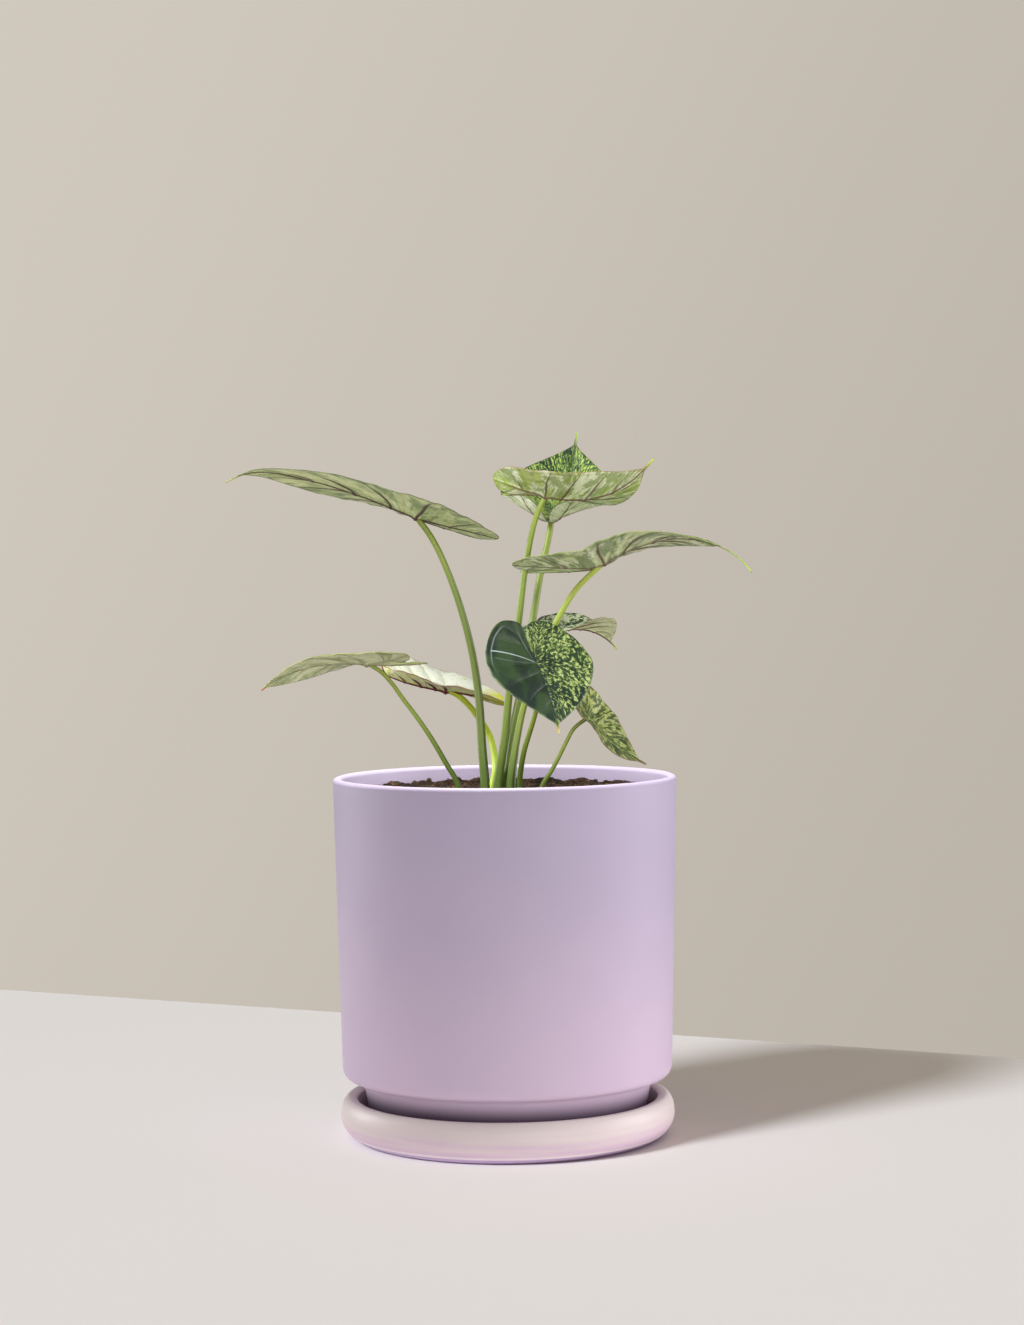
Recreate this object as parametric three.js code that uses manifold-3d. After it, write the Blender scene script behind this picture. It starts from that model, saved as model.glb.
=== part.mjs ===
// Potted mint alocasia: nine long-stemmed leaves in a cylinder pot that stands on its saucer.
// Millimetres, +Z up. The origin is on the pot's axis, on the surface that the saucer stands on.
// +X is to the right and -Y is to the front.

import * as THREE from "three";
import { mergeVertices } from "three/addons/utils/BufferGeometryUtils.js";
import Module from "manifold-3d";

const wasm = await Module();
wasm.setup();

const gap = 0.3; // between neighbouring pieces
const weld = 1e-4; // vertices nearer than this are one

// Driving sizes of the saucer
const saucerSize = {
  radius: 99.4, // where its wall bulges most
  bulgeHeight: 12.8,
  baseRadius: 88,
  flankRadius: 97.9, // the low flank swells towards this
  flankHeight: 3,
  shoulderHeight: 22.1,
  rimOuterRadius: 94.8,
  rimInnerRadius: 89.2,
  rimRound: 2.2,
  height: 24.6,
  floor: 6,
  floorRadius: 84.5,
  wallFootRadius: 88,
  floorFillet: 6,
};

// Driving sizes of the pot
const potSize = {
  rimRadius: 102,
  rimHeight: 214.1,
  wall: 5,
  lowerRadius: 98.1, // of the body, just over its rounded lower edge
  lowerEdge: 36, // height of the body's underside
  edgeRound: 7,
  footRadius: 81, // of the step that stands in the saucer
  footWall: 6,
  footRound: 2,
  stepFillet: 4, // between the foot and the body's underside
  ledgeStep: 2,
  floor: 8,
  floorFillet: 3,
  drainRadius: 8,
};
const footBottom = saucerSize.floor + gap;
const turnSegments = 40; // round the saucer, the pot and the soil
const curveSteps = 2; // of each bend in a turned profile

// Driving sizes of the soil
const soilSize = {
  height: 205, // of its surface, over the standing plane
  rings: 7,
};
// Its crumbly top is a sum of waves: height, waves a millimetre across and along, and start
const crumbWaves = [
  { height: 0.7, across: 0.31, along: 0.05, start: 1.3 },
  { height: 0.5, across: -0.12, along: 0.38, start: 0.4 },
  { height: 0.35, across: 0.83, along: -0.61, start: 2.1 },
  { height: 0.3, across: 0.42, along: 0.97, start: 0 },
];
const stemDepth = 30; // how deep the stems reach into the soil
const stemSeat = 0.4; // between a stem's end and its blade, before the ribs

// Driving sizes that all blades share
const blade = {
  thickness: 0.8,
  marginThickness: 0.64,
  spineSteps: 40,
  ribFoot: 1.1, // from the middle of a rib to its foot
  midribHeight: 1.1,
  midribThinning: 0.95, // share of its height that the midrib loses by the tip
  rearRibStart: 0.7, // height of a rear rib where it starts, and how much of it goes by the lobe's end
  rearRibThinning: 0.55,
  sideVeinHeight: 0.5,
  sideVeinThinning: 0.6, // by its outer end
  tipVeinThinning: 0.5, // of the side veins towards the tip and the lobes
  dripHalfWidth: 0.9,
  flatTipWidth: 4, // where half of the front is narrower than this, the fold flattens out
  dripPower: 0.5,
  hookStart: 0.72, // where the extra droop near the tip starts, as a share of the front
  rearBendEnd: 0.25, // where the bend behind the stem ends, as a share of the lobe
  sinusOpening: 0.12, // keeps the two lobes apart
  veinGather: 0.5, // how far the side veins' feet draw together towards the stem
  veinBow: 0.2, // how far a side vein bows back
  bowFade: 3, // how fast the bow goes towards the tip
  forwardLean: 1.9, // how far the side veins run to the tip
  rearLean: 0.9,
  columns: [0.36, 0.7, 1], // of each side vein, from its foot to the margin
  innerColumns: [0.2, 0.6, 1], // from a rear rib to the sinus
};
const sideVeins = [0, 0.2, 0.4, 0.6]; // along the midrib, as shares of its length
const rearVeins = [0.42]; // along the rear ribs
const plainRows = [0.1, 0.3, 0.5, 0.72, 0.83, 0.92, 0.97, 1]; // between the side veins and to the tip
const rearPlainRows = [0.2, 0.65, 0.85, 1];

// Driving sizes of the stems, whose radii and points are with the leaves
const stemSides = 8;
const stemSteps = 11;
const stemTaper = 1.3; // how fast a stem thins

// What a leaf has unless its own entry says otherwise. Lengths are in millimetres and angles in degrees.
const ordinary = {
  drip: 8, // length of the drip tip
  sinus: 8, // from the stem back to the bottom of the sinus
  sinusPower: 2, // how narrow the sinus is
  wide: 0.05, // where the blade is widest, as a share of its front
  fullness: 2, // of the front's outline
  shoulder: 1,
  lobeIn: 0.5, // how far out the lobes end, as a share of the half width
  foldTip: 0, // added to the fold towards the tip, and towards the lobes
  foldLobeLeft: 0,
  foldLobeRight: 0,
  curlLeft: 12, // how much each half curls up to its margin
  curlRight: 12,
  droopPower: 1.5,
  hook: 0, // extra droop near the tip
  rearBend: 0, // bend just behind the stem, where the lobes start
  lobeDroop: 0,
  sway: 0,
  twist: 0,
  twistLobe: 0,
  waves: 1.5,
  waveLeft: 0,
  waveRight: 0,
  phaseLeft: 0,
  phaseRight: 0,
};

// The leaves: where the blade meets its stem, its size, how it is turned, folded and bent,
// and the stem's radii and its points from the soil up
const leaves = [
  {
    name: "upper_left",
    colour: 0x93a877,
    attach: [-50.5, -14.0, 368.0],
    front: 117.5, lobe: 47.5, half: 37.0, wide: 0.02, fullness: 1.95, shoulder: 1.1, lobeIn: 0.46,
    heading: 197, pitch: 22, roll: -13, foldLeft: 27, foldRight: -5, foldTip: -18, foldLobeLeft: 7,
    curlLeft: -8, curlRight: -7, droop: 24, droopPower: 1.7, hook: 29, lobeDroop: -5, sway: -11,
    twist: 9, twistLobe: -9, waveLeft: -1.5, waveRight: 0.5, phaseLeft: -40, phaseRight: 10,
    stemBase: 3.0,
    stemTop: 1.7,
    stem: [
      [-11.5, -7.0, 207.5],
      [-13.0, -8.0, 230.0],
      [-15.0, -9.5, 264.0],
      [-19.5, -10.5, 293.0],
      [-27.5, -12.0, 322.5],
      [-37.5, -13.0, 348.0],
      [-44.0, -13.5, 359.5],
    ],
  },
  {
    name: "top_front",
    colour: 0xa3bb68,
    attach: [25.5, -24.0, 379.5],
    front: 73.0, lobe: 28.5, half: 27.5, drip: 7.0, wide: 0.09, fullness: 2.7, shoulder: 1.3, lobeIn: 0.49,
    heading: -15, pitch: -12, roll: 0, foldLeft: 8, foldRight: 24, foldTip: -9, foldLobeLeft: 4,
    foldLobeRight: 24, curlLeft: -3, curlRight: 8, droop: -75, droopPower: 1.4, hook: 15,
    rearBend: 12, lobeDroop: 4, sway: -5, twist: -29, twistLobe: -2, waveLeft: 0.5, waveRight: -1.0,
    phaseLeft: 20, phaseRight: -90,
    stemBase: 2.9,
    stemTop: 1.6,
    stem: [
      [-4.0, -5.0, 207.0],
      [0.5, -8.5, 239.0],
      [3.0, -11.0, 261.5],
      [9.5, -16.0, 308.0],
      [13.5, -19.5, 337.5],
      [19.5, -22.5, 365.5],
    ],
  },
  {
    name: "top_back",
    colour: 0x7d9a55,
    attach: [30.0, 36.0, 366.5],
    front: 86.0, lobe: 34.5, half: 35.5, wide: 0.06, fullness: 3.0, shoulder: 1.25, lobeIn: 0.48,
    heading: 78, pitch: 19, roll: 7, foldLeft: 20, foldRight: 24, foldTip: -5, curlLeft: 8,
    curlRight: 0, droop: -60, droopPower: 1.4, hook: -6, lobeDroop: -69, sway: -2, twist: 3,
    waveRight: 0.5, phaseRight: -20,
    stemBase: 3.0,
    stemTop: 1.9,
    stem: [
      [0.0, 1.0, 206.5],
      [4.5, 8.0, 238.0],
      [9.0, 12.5, 258.5],
      [18.0, 23.0, 307.5],
      [23.5, 30.0, 337.5],
      [27.0, 33.0, 351.5],
    ],
  },
  {
    name: "middle_right",
    colour: 0x98ad78,
    attach: [59.0, -28.0, 340.0],
    front: 96.0, lobe: 52.0, half: 36.0, drip: 24.0, fullness: 1.9, shoulder: 0.95, lobeIn: 0.47,
    heading: -8, pitch: 29, roll: 0, foldLeft: -3, foldRight: 15, foldTip: -22, foldLobeLeft: 4,
    foldLobeRight: 2, curlLeft: 6, curlRight: 3, droop: 84, rearBend: -24, lobeDroop: -3,
    stemBase: 2.4,
    stemTop: 1.6,
    stem: [
      [3.0, -5.0, 207.0],
      [8.0, -5.5, 238.5],
      [12.5, -6.5, 258.0],
      [23.5, -10.5, 289.0],
      [33.0, -15.5, 308.5],
      [43.0, -21.0, 324.5],
    ],
  },
  {
    name: "small_back",
    colour: 0x7c9360,
    attach: [34.5, 46.0, 299.5],
    front: 52.5, lobe: 23.5, half: 29.0, wide: 0.08, fullness: 2.15, shoulder: 0.95, lobeIn: 0.52,
    heading: 41, pitch: 7, roll: -8, foldLeft: 23, foldRight: 3, foldTip: 29, foldLobeLeft: 2,
    foldLobeRight: -1, curlLeft: -20, curlRight: 3, droop: 52, droopPower: 1.4, hook: -3,
    lobeDroop: 18, sway: 10, twist: 20, twistLobe: 4, waveLeft: 0.5, waveRight: 1.0, phaseLeft: -5,
    phaseRight: -20,
    stemBase: 1.6,
    stemTop: 1.2,
    stem: [
      [5.0, 6.0, 206.0],
      [7.0, 15.0, 226.5],
      [10.5, 24.5, 249.0],
      [16.5, 31.5, 265.0],
      [25.0, 39.0, 282.5],
    ],
  },
  {
    name: "heart",
    colour: 0x3f6243,
    attach: [19.5, -40.0, 282.0],
    front: 49.0, lobe: 28.5, half: 33.5, drip: 6.0, wide: 0.07, fullness: 1.75, lobeIn: 0.36,
    heading: -58, pitch: -51, roll: 2, foldLeft: 5, foldRight: 3, foldLobeLeft: -4,
    foldLobeRight: 4, curlLeft: 11, curlRight: -5, droop: 8, hook: 2, sinusPower: 3.2,
    lobeDroop: -15, sway: -8, twist: 3, twistLobe: -6, waveRight: 0.5, phaseRight: -5,
    stemBase: 1.9,
    stemTop: 1.3,
    stem: [
      [8.5, -3.0, 207.0],
      [11.5, -13.5, 228.5],
      [14.5, -18.5, 239.0],
      [18.5, -25.5, 252.5],
      [20.5, -32.0, 266.0],
    ],
  },
  {
    name: "lower_right",
    colour: 0x93a552,
    attach: [50.5, -12.0, 249.0],
    front: 44.0, lobe: 26.5, half: 17.0, drip: 4.0, shoulder: 1.05, lobeIn: 0.51, heading: -3,
    pitch: -50, roll: 13, foldLeft: 29, foldRight: 2, foldTip: -13, foldLobeLeft: 5,
    foldLobeRight: 2, curlLeft: 5, droop: -21, droopPower: 1.4, hook: -3, lobeDroop: -4, sway: 9,
    twist: 12, twistLobe: 4, waveRight: 0.5, phaseRight: -10,
    stemBase: 1.6,
    stemTop: 1.1,
    stem: [
      [22.0, -6.0, 207.0],
      [28.0, -7.5, 217.5],
      [32.5, -8.5, 226.0],
      [37.0, -10.0, 235.0],
      [41.0, -11.0, 242.0],
      [45.5, -11.5, 246.0],
    ],
  },
  {
    name: "lower_left",
    colour: 0x9db082,
    attach: [-80.0, -24.0, 282.5],
    front: 73.0, lobe: 32.5, half: 27.5, drip: 2.0, wide: 0.06, heading: 157, pitch: 3, roll: 3,
    foldLeft: 15, foldRight: -1, foldTip: -22, foldLobeLeft: 2, curlLeft: -10, curlRight: 11,
    droop: 41, hook: -1, lobeDroop: -9, twist: 3, twistLobe: 3, waveLeft: -0.5, phaseLeft: -5,
    stemBase: 1.8,
    stemTop: 1.2,
    stem: [
      [-27.0, -8.0, 207.5],
      [-34.5, -11.0, 222.5],
      [-43.5, -14.5, 238.5],
      [-51.0, -17.0, 250.0],
      [-59.0, -19.5, 261.0],
      [-65.5, -21.5, 270.5],
      [-72.0, -23.0, 277.5],
    ],
  },
  {
    name: "pale_folded",
    colour: 0xdfe4c4,
    attach: [-35.0, 26.0, 264.0],
    front: 46.0, lobe: 35.5, half: 27.0, drip: 1.5, wide: 0.11, fullness: 2.6, shoulder: 0.85,
    lobeIn: 0.51, heading: 184, pitch: 11, roll: -14, foldLeft: 30, foldRight: 19, foldTip: 17,
    foldLobeLeft: 4, foldLobeRight: -3, curlLeft: -16, curlRight: -20, droop: -27, droopPower: 2.0,
    hook: -52, lobeDroop: 16, sway: 7, twist: -9, twistLobe: -1, waveLeft: -0.5, waveRight: -0.5,
    phaseLeft: 15, phaseRight: -50,
    stemBase: 2.3,
    stemTop: 1.7,
    stem: [
      [-7.5, 5.0, 206.5],
      [-5.5, 9.5, 218.0],
      [-6.5, 13.0, 228.5],
      [-9.0, 16.5, 237.5],
      [-14.5, 19.5, 246.5],
      [-24.0, 24.0, 258.0],
      [-31.0, 25.5, 263.0],
    ],
  },
];

// Materials, with the colours that the plant and the pottery show
const colours = {
  pot: 0xcdbbcb,
  saucer: 0xd6c3c9,
  soil: 0x4a3426,
  stem: 0x86a548,
};
const roughness = { saucer: 0.6, pot: 0.75, soil: 1, stem: 0.5, blade: 0.45 };

const leastCurl = 1e-3; // radians, for a half that doesn't curl
const radians = THREE.MathUtils.degToRad;
const smooth = (t) => THREE.MathUtils.smoothstep(t, 0, 1);

// A closed geometry as a solid that can be cut and joined
function solidOf(geometry) {
  const bare = geometry.clone();
  bare.deleteAttribute("normal");
  bare.deleteAttribute("uv");
  const merged = mergeVertices(bare, weld);
  const mesh = new wasm.Mesh({
    numProp: 3,
    vertProperties: merged.attributes.position.array,
    triVerts: new Uint32Array(merged.index.array),
  });
  return new wasm.Manifold(mesh);
}

function geometryOf(solid) {
  const mesh = solid.getMesh();
  const geometry = new THREE.BufferGeometry();
  geometry.setAttribute("position", new THREE.BufferAttribute(mesh.vertProperties, 3));
  geometry.setIndex(new THREE.BufferAttribute(mesh.triVerts, 1));
  return geometry;
}

function largestBody(solid) {
  const bodies = solid.decompose();
  return bodies.reduce((best, body) => (body.volume() > best.volume() ? body : best));
}

// A profile of radius and height, spun about the pot's axis
function turned(path) {
  const geometry = new THREE.LatheGeometry(path.getPoints(curveSteps), turnSegments);
  geometry.rotateX(Math.PI / 2);
  return geometry;
}

function saucerGeometry() {
  const s = saucerSize;
  const path = new THREE.Path();
  path.moveTo(0, 0);
  path.lineTo(s.baseRadius, 0);
  path.quadraticCurveTo(s.flankRadius, s.flankHeight, s.radius, s.bulgeHeight);
  path.quadraticCurveTo(s.radius, s.shoulderHeight, s.rimOuterRadius, s.height);
  path.quadraticCurveTo(s.rimInnerRadius, s.height, s.rimInnerRadius, s.height - s.rimRound);
  path.lineTo(s.wallFootRadius, s.floor + s.floorFillet);
  path.quadraticCurveTo(s.wallFootRadius, s.floor, s.floorRadius, s.floor);
  path.lineTo(0, s.floor);
  return turned(path);
}

// The inside of the pot, from the given height down to its floor. The soil follows it at an inset.
function innerWall(path, inset, height) {
  const p = potSize;
  const upper = p.rimRadius - p.wall - inset;
  const lower = p.lowerRadius - p.wall - inset;
  const foot = p.footRadius - p.footWall - inset;
  const floorHeight = footBottom + p.floor + inset;
  const ledge = p.lowerEdge + p.wall + inset;
  const wallStart = ledge + p.edgeRound;
  const share = (height - wallStart) / (p.rimHeight - p.wall / 2 - wallStart);
  path.lineTo(lower + (upper - lower) * share, height);
  path.lineTo(lower, wallStart);
  path.quadraticCurveTo(lower, ledge, lower - p.edgeRound, ledge);
  path.lineTo(foot, ledge - p.ledgeStep);
  path.lineTo(foot, floorHeight + p.floorFillet);
  path.quadraticCurveTo(foot, floorHeight, foot - p.floorFillet, floorHeight);
}

function potGeometry() {
  const p = potSize;
  const half = p.wall / 2;
  const top = p.rimHeight - half;
  const path = new THREE.Path();
  path.moveTo(p.drainRadius, footBottom);
  path.lineTo(p.footRadius - p.footRound, footBottom);
  path.quadraticCurveTo(p.footRadius, footBottom, p.footRadius, footBottom + p.footRound);
  path.lineTo(p.footRadius, p.lowerEdge - p.stepFillet);
  path.quadraticCurveTo(p.footRadius, p.lowerEdge, p.footRadius + p.stepFillet, p.lowerEdge);
  path.lineTo(p.lowerRadius - p.edgeRound, p.lowerEdge);
  path.quadraticCurveTo(p.lowerRadius, p.lowerEdge, p.lowerRadius, p.lowerEdge + p.edgeRound);
  path.lineTo(p.rimRadius, top);
  path.absarc(p.rimRadius - half, top, half, 0, Math.PI, false);
  innerWall(path, 0, top);
  path.lineTo(p.drainRadius, footBottom + p.floor);
  path.lineTo(p.drainRadius, footBottom);
  return turned(path);
}

function crumbLift(x, y) {
  return crumbWaves.reduce((sum, w) => sum + w.height * Math.sin(x * w.across + y * w.along + w.start), 0);
}

// The soil is a plug with a crumbly top
function soilGeometry() {
  const s = soilSize;
  const wall = new THREE.Path();
  innerWall(wall, gap, s.height);
  const wallPoints = wall.getPoints(curveSteps).slice(1).reverse();
  const rim = wallPoints[wallPoints.length - 1].x;
  const path = new THREE.Path();
  path.moveTo(0, wallPoints[0].y);
  wallPoints.forEach((point) => path.lineTo(point.x, point.y));
  for (let ring = s.rings - 1; ring >= 0; ring -= 1) path.lineTo((rim * ring) / s.rings, s.height);
  const geometry = turned(path);
  const position = geometry.attributes.position;
  const innermost = rim - rim / s.rings / 2;
  for (let i = 0; i < position.count; i += 1) {
    const [x, y, z] = new THREE.Vector3().fromBufferAttribute(position, i).toArray();
    const onTop = z > s.height - gap && Math.hypot(x, y) < innermost;
    if (onTop) position.setZ(i, z + crumbLift(x, y));
  }
  return geometry;
}

// A blade lies flat first: x runs from the stem to the tip, y to the margins.
// Its front narrows to a drip tip, and two rear lobes reach back on both sides of the sinus.
class Leaf {
  constructor(values) {
    Object.assign(this, values);
    this.widest = this.wide * this.front;
    this.lobeY = this.lobeIn * this.half;
    this.makeSpine();
  }

  frontWidth(x) {
    const u = THREE.MathUtils.clamp((x - this.widest) / (this.front - this.drip - this.widest), 0, 1);
    const body = this.half * Math.max(1 - u ** this.fullness, 0) ** this.shoulder;
    const toTip = THREE.MathUtils.clamp((this.front - x) / this.drip, 0, 1);
    return Math.max(body, blade.dripHalfWidth * toTip ** blade.dripPower);
  }

  // Where the row that starts at v meets the margin; v is 1 at the tip, 0 at the stem, -1 at the lobe's end
  margin(v) {
    const body = this.front - this.drip;
    const bodyShare = (v * this.front) / body;
    if (bodyShare >= 1) return [v * this.front, this.frontWidth(v * this.front)];
    if (v >= 0) {
      const x = this.widest + (body - this.widest) * (1 - (1 - bodyShare) ** blade.forwardLean);
      return [x, this.frontWidth(x)];
    }
    const angle = (-v) ** blade.rearLean * (Math.PI / 2);
    const x = this.widest - (this.widest + this.lobe) * Math.sin(angle);
    return [x, this.lobeY + (this.half - this.lobeY) * Math.cos(angle)];
  }

  spinePoint(v) {
    if (v >= 0) return [this.front * v * (1 - blade.veinGather * (1 - v) ** 2), 0];
    return [this.lobe * v, -v * this.lobeY];
  }

  // The lobe's inner margin, from its end at k = 1 to the bottom of the sinus at k = 0
  innerMargin(k) {
    const angle = ((1 - k) * Math.PI) / 2;
    const x = -this.lobe + (this.lobe - this.sinus) * (1 - Math.cos(angle));
    const opening = blade.sinusOpening * Math.sqrt(k);
    const closing = (1 - blade.sinusOpening) * (1 - Math.sin(angle)) ** this.sinusPower;
    return [x, this.lobeY * (opening + closing)];
  }

  // The midrib in space, bent from the stem to the tip and from the stem to the lobes
  makeSpine() {
    const heading = radians(this.heading);
    const pitch = radians(this.pitch);
    const roll = radians(this.roll);
    const flat = Math.cos(pitch);
    const along = new THREE.Vector3(flat * Math.cos(heading), flat * Math.sin(heading), Math.sin(pitch));
    const level = new THREE.Vector3(-Math.sin(heading), Math.cos(heading), 0);
    const over = new THREE.Vector3().crossVectors(along, level);
    const side = level.clone().multiplyScalar(Math.cos(roll)).addScaledVector(over, Math.sin(roll));
    const up = over.clone().multiplyScalar(Math.cos(roll)).addScaledVector(level, -Math.sin(roll));
    const frameAt = (bend, sway, twist) => {
      const a = along.clone().multiplyScalar(Math.cos(sway)).addScaledVector(side, Math.sin(sway));
      const b = side.clone().multiplyScalar(Math.cos(sway)).addScaledVector(along, -Math.sin(sway));
      const forward = a.clone().multiplyScalar(Math.cos(bend)).addScaledVector(up, Math.sin(bend));
      const risen = up.clone().multiplyScalar(Math.cos(bend)).addScaledVector(a, -Math.sin(bend));
      return {
        forward,
        side: b.clone().multiplyScalar(Math.cos(twist)).addScaledVector(risen, Math.sin(twist)),
        up: risen.clone().multiplyScalar(Math.cos(twist)).addScaledVector(b, -Math.sin(twist)),
      };
    };
    const frontFrame = (u) => {
      const hook = this.hook * smooth((u - blade.hookStart) / (1 - blade.hookStart));
      const bend = -radians(this.droop * u ** this.droopPower + hook);
      return frameAt(bend, radians(this.sway) * u, radians(this.twist) * u);
    };
    const rearFrame = (u) => {
      const bend = radians(this.rearBend * smooth(u / blade.rearBendEnd) + this.lobeDroop * u);
      return frameAt(bend, 0, radians(this.twistLobe) * u);
    };
    const run = (length, sign, frame) => {
      const point = new THREE.Vector3(...this.attach);
      const stations = [{ point: point.clone(), ...frame(0) }];
      for (let i = 1; i <= blade.spineSteps; i += 1) {
        const step = (sign * length) / blade.spineSteps;
        point.addScaledVector(frame((i - 0.5) / blade.spineSteps).forward, step);
        stations.push({ point: point.clone(), ...frame(i / blade.spineSteps) });
      }
      return stations;
    };
    this.frontStations = run(this.front, 1, frontFrame);
    this.rearStations = run(this.lobe, -1, rearFrame);
  }

  station(x) {
    const stations = x >= 0 ? this.frontStations : this.rearStations;
    const share = (x >= 0 ? x / this.front : -x / this.lobe) * blade.spineSteps;
    const index = Math.min(Math.floor(share), blade.spineSteps - 1);
    const t = share - index;
    const mix = (key) => stations[index][key].clone().lerp(stations[index + 1][key], t);
    return { point: mix("point"), side: mix("side"), up: mix("up") };
  }

  // From the flat blade to its shape in space: folded at the midrib, curled and waved at the margins
  place(x, y) {
    const station = this.station(x);
    const left = y >= 0;
    const share = Math.abs(y) / this.half;
    const tipFold = this.foldTip * smooth(x / this.front);
    const rearFold = (left ? this.foldLobeLeft : this.foldLobeRight) * smooth(-x / this.lobe);
    const flattening = Math.min(1, this.frontWidth(x) / blade.flatTipWidth);
    const fold = radians((left ? this.foldLeft : this.foldRight) + tipFold + rearFold) * flattening;
    let curl = radians(left ? this.curlLeft : this.curlRight);
    if (Math.abs(curl) < leastCurl) curl = leastCurl;
    const end = fold + curl * share;
    const out = (this.half * (Math.sin(end) - Math.sin(fold))) / curl;
    const wave = left ? this.waveLeft : this.waveRight;
    const phase = radians(left ? this.phaseLeft : this.phaseRight);
    const ripple = wave * share ** 2 * Math.sin(2 * Math.PI * this.waves * (x / this.front) + phase);
    const rise = (this.half * (Math.cos(fold) - Math.cos(end))) / curl + ripple;
    return station.point.addScaledVector(station.side, left ? out : -out).addScaledVector(station.up, rise);
  }

  // The blade as one closed body, with its midrib, rear ribs and side veins raised underneath.
  // extra thickens it all round, to cut a stem clear of it.
  geometry(extra = 0) {
    const points = [];
    const lifts = [];
    const known = new Map();
    const faces = [];
    const vertex = ([x, y], lift) => {
      const key = `${x.toFixed(3)},${y.toFixed(3)}`;
      if (!known.has(key)) {
        known.set(key, points.length);
        points.push(this.place(x, y));
        lifts.push(lift);
      }
      return known.get(key);
    };
    const addFace = (a, b, c, flip) => {
      if (a === b || b === c || c === a) return;
      faces.push(flip ? [a, c, b] : [a, b, c]);
    };
    const patch = (grid, flip) => {
      for (let i = 0; i + 1 < grid.length; i += 1) {
        for (let j = 0; j + 1 < grid[i].length; j += 1) {
          addFace(grid[i][j], grid[i + 1][j], grid[i + 1][j + 1], flip);
          addFace(grid[i][j], grid[i + 1][j + 1], grid[i][j + 1], flip);
        }
      }
    };
    const outerRows = this.rows();
    const innerRows = outerRows.filter(({ v }) => v <= 0).map(({ v }) => -v);
    [1, -1].forEach((side) => {
      const outer = outerRows.map(({ v, raised }) => this.outerRow(v, raised, side, vertex));
      patch(outer, side < 0);
      const inner = innerRows.map((k) => this.innerRow(k, side, vertex));
      patch(inner, side > 0);
    });
    return closeSheet(points, lifts, faces, extra);
  }

  // A row on each side of every raised vein gives it a foot
  rows() {
    const rows = [...plainRows, ...rearPlainRows.map((v) => -v)].map((v) => ({ v, raised: 0 }));
    [...sideVeins, ...rearVeins.map((v) => -v)].forEach((v) => {
      const foot = blade.ribFoot / (v >= 0 ? this.front : this.lobe);
      const raised = 1 - blade.tipVeinThinning * Math.abs(v);
      rows.push({ v: v - foot, raised: 0 }, { v, raised }, { v: v + foot, raised: 0 });
    });
    return rows.sort((a, b) => a.v - b.v);
  }

  ribHeight(v) {
    const share = v >= 0 ? 1 - blade.midribThinning * v : blade.rearRibStart + blade.rearRibThinning * v;
    return blade.midribHeight * share;
  }

  outerRow(v, raised, side, vertex) {
    const from = this.spinePoint(v);
    const to = this.margin(v);
    const length = Math.hypot(to[0] - from[0], to[1] - from[1]);
    const firstColumn = blade.columns[0];
    const foot = Math.min(blade.ribFoot / Math.max(length, weld), firstColumn / 2);
    const fade = Math.min(1, blade.bowFade * (1 - v)) * Math.max(v, 0);
    return [0, foot, ...blade.columns].map((r) => {
      const x = from[0] + (to[0] - from[0]) * r - blade.veinBow * this.front * r * (1 - r) * fade;
      const y = from[1] + (to[1] - from[1]) * r;
      if (r === 0) return vertex([x, y * side], this.ribHeight(v));
      const height = raised * blade.sideVeinHeight * (1 - blade.sideVeinThinning * r);
      return vertex([x, y * side], r < 1 ? height : 0);
    });
  }

  innerRow(k, side, vertex) {
    const from = this.spinePoint(-k);
    const to = this.innerMargin(k);
    return [0, ...blade.innerColumns].map((r) => {
      const x = from[0] + (to[0] - from[0]) * r;
      const y = from[1] + (to[1] - from[1]) * r;
      return vertex([x, y * side], r === 0 ? this.ribHeight(-k) : 0);
    });
  }
}

// A sheet of faces becomes a closed body: one skin over it, one under it and a wall round its edge.
// lifts are the heights of the ribs and veins under the sheet.
function closeSheet(points, lifts, faces, extra) {
  const normals = points.map(() => new THREE.Vector3());
  const edges = new Map();
  faces.forEach(([a, b, c]) => {
    const ab = points[b].clone().sub(points[a]);
    const ac = points[c].clone().sub(points[a]);
    const across = ab.cross(ac);
    [a, b, c].forEach((i) => normals[i].add(across));
    [[a, b], [b, c], [c, a]].forEach(([from, to]) => edges.set(`${from},${to}`, [from, to]));
  });
  const rim = [...edges.values()].filter(([from, to]) => !edges.has(`${to},${from}`));
  const onRim = new Set(rim.flat());
  const over = [];
  const under = [];
  points.forEach((point, i) => {
    const normal = normals[i].normalize();
    const half = (onRim.has(i) ? blade.marginThickness : blade.thickness) / 2 + extra;
    over.push(...point.clone().addScaledVector(normal, half).toArray());
    under.push(...point.clone().addScaledVector(normal, -half - lifts[i]).toArray());
  });
  const count = points.length;
  const index = [];
  faces.forEach(([a, b, c]) => index.push(a, b, c, a + count, c + count, b + count));
  rim.forEach(([from, to]) => index.push(to, from, from + count, to, from + count, to + count));
  const geometry = new THREE.BufferGeometry();
  geometry.setAttribute("position", new THREE.Float32BufferAttribute([...over, ...under], 3));
  geometry.setIndex(index);
  return geometry;
}

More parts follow.
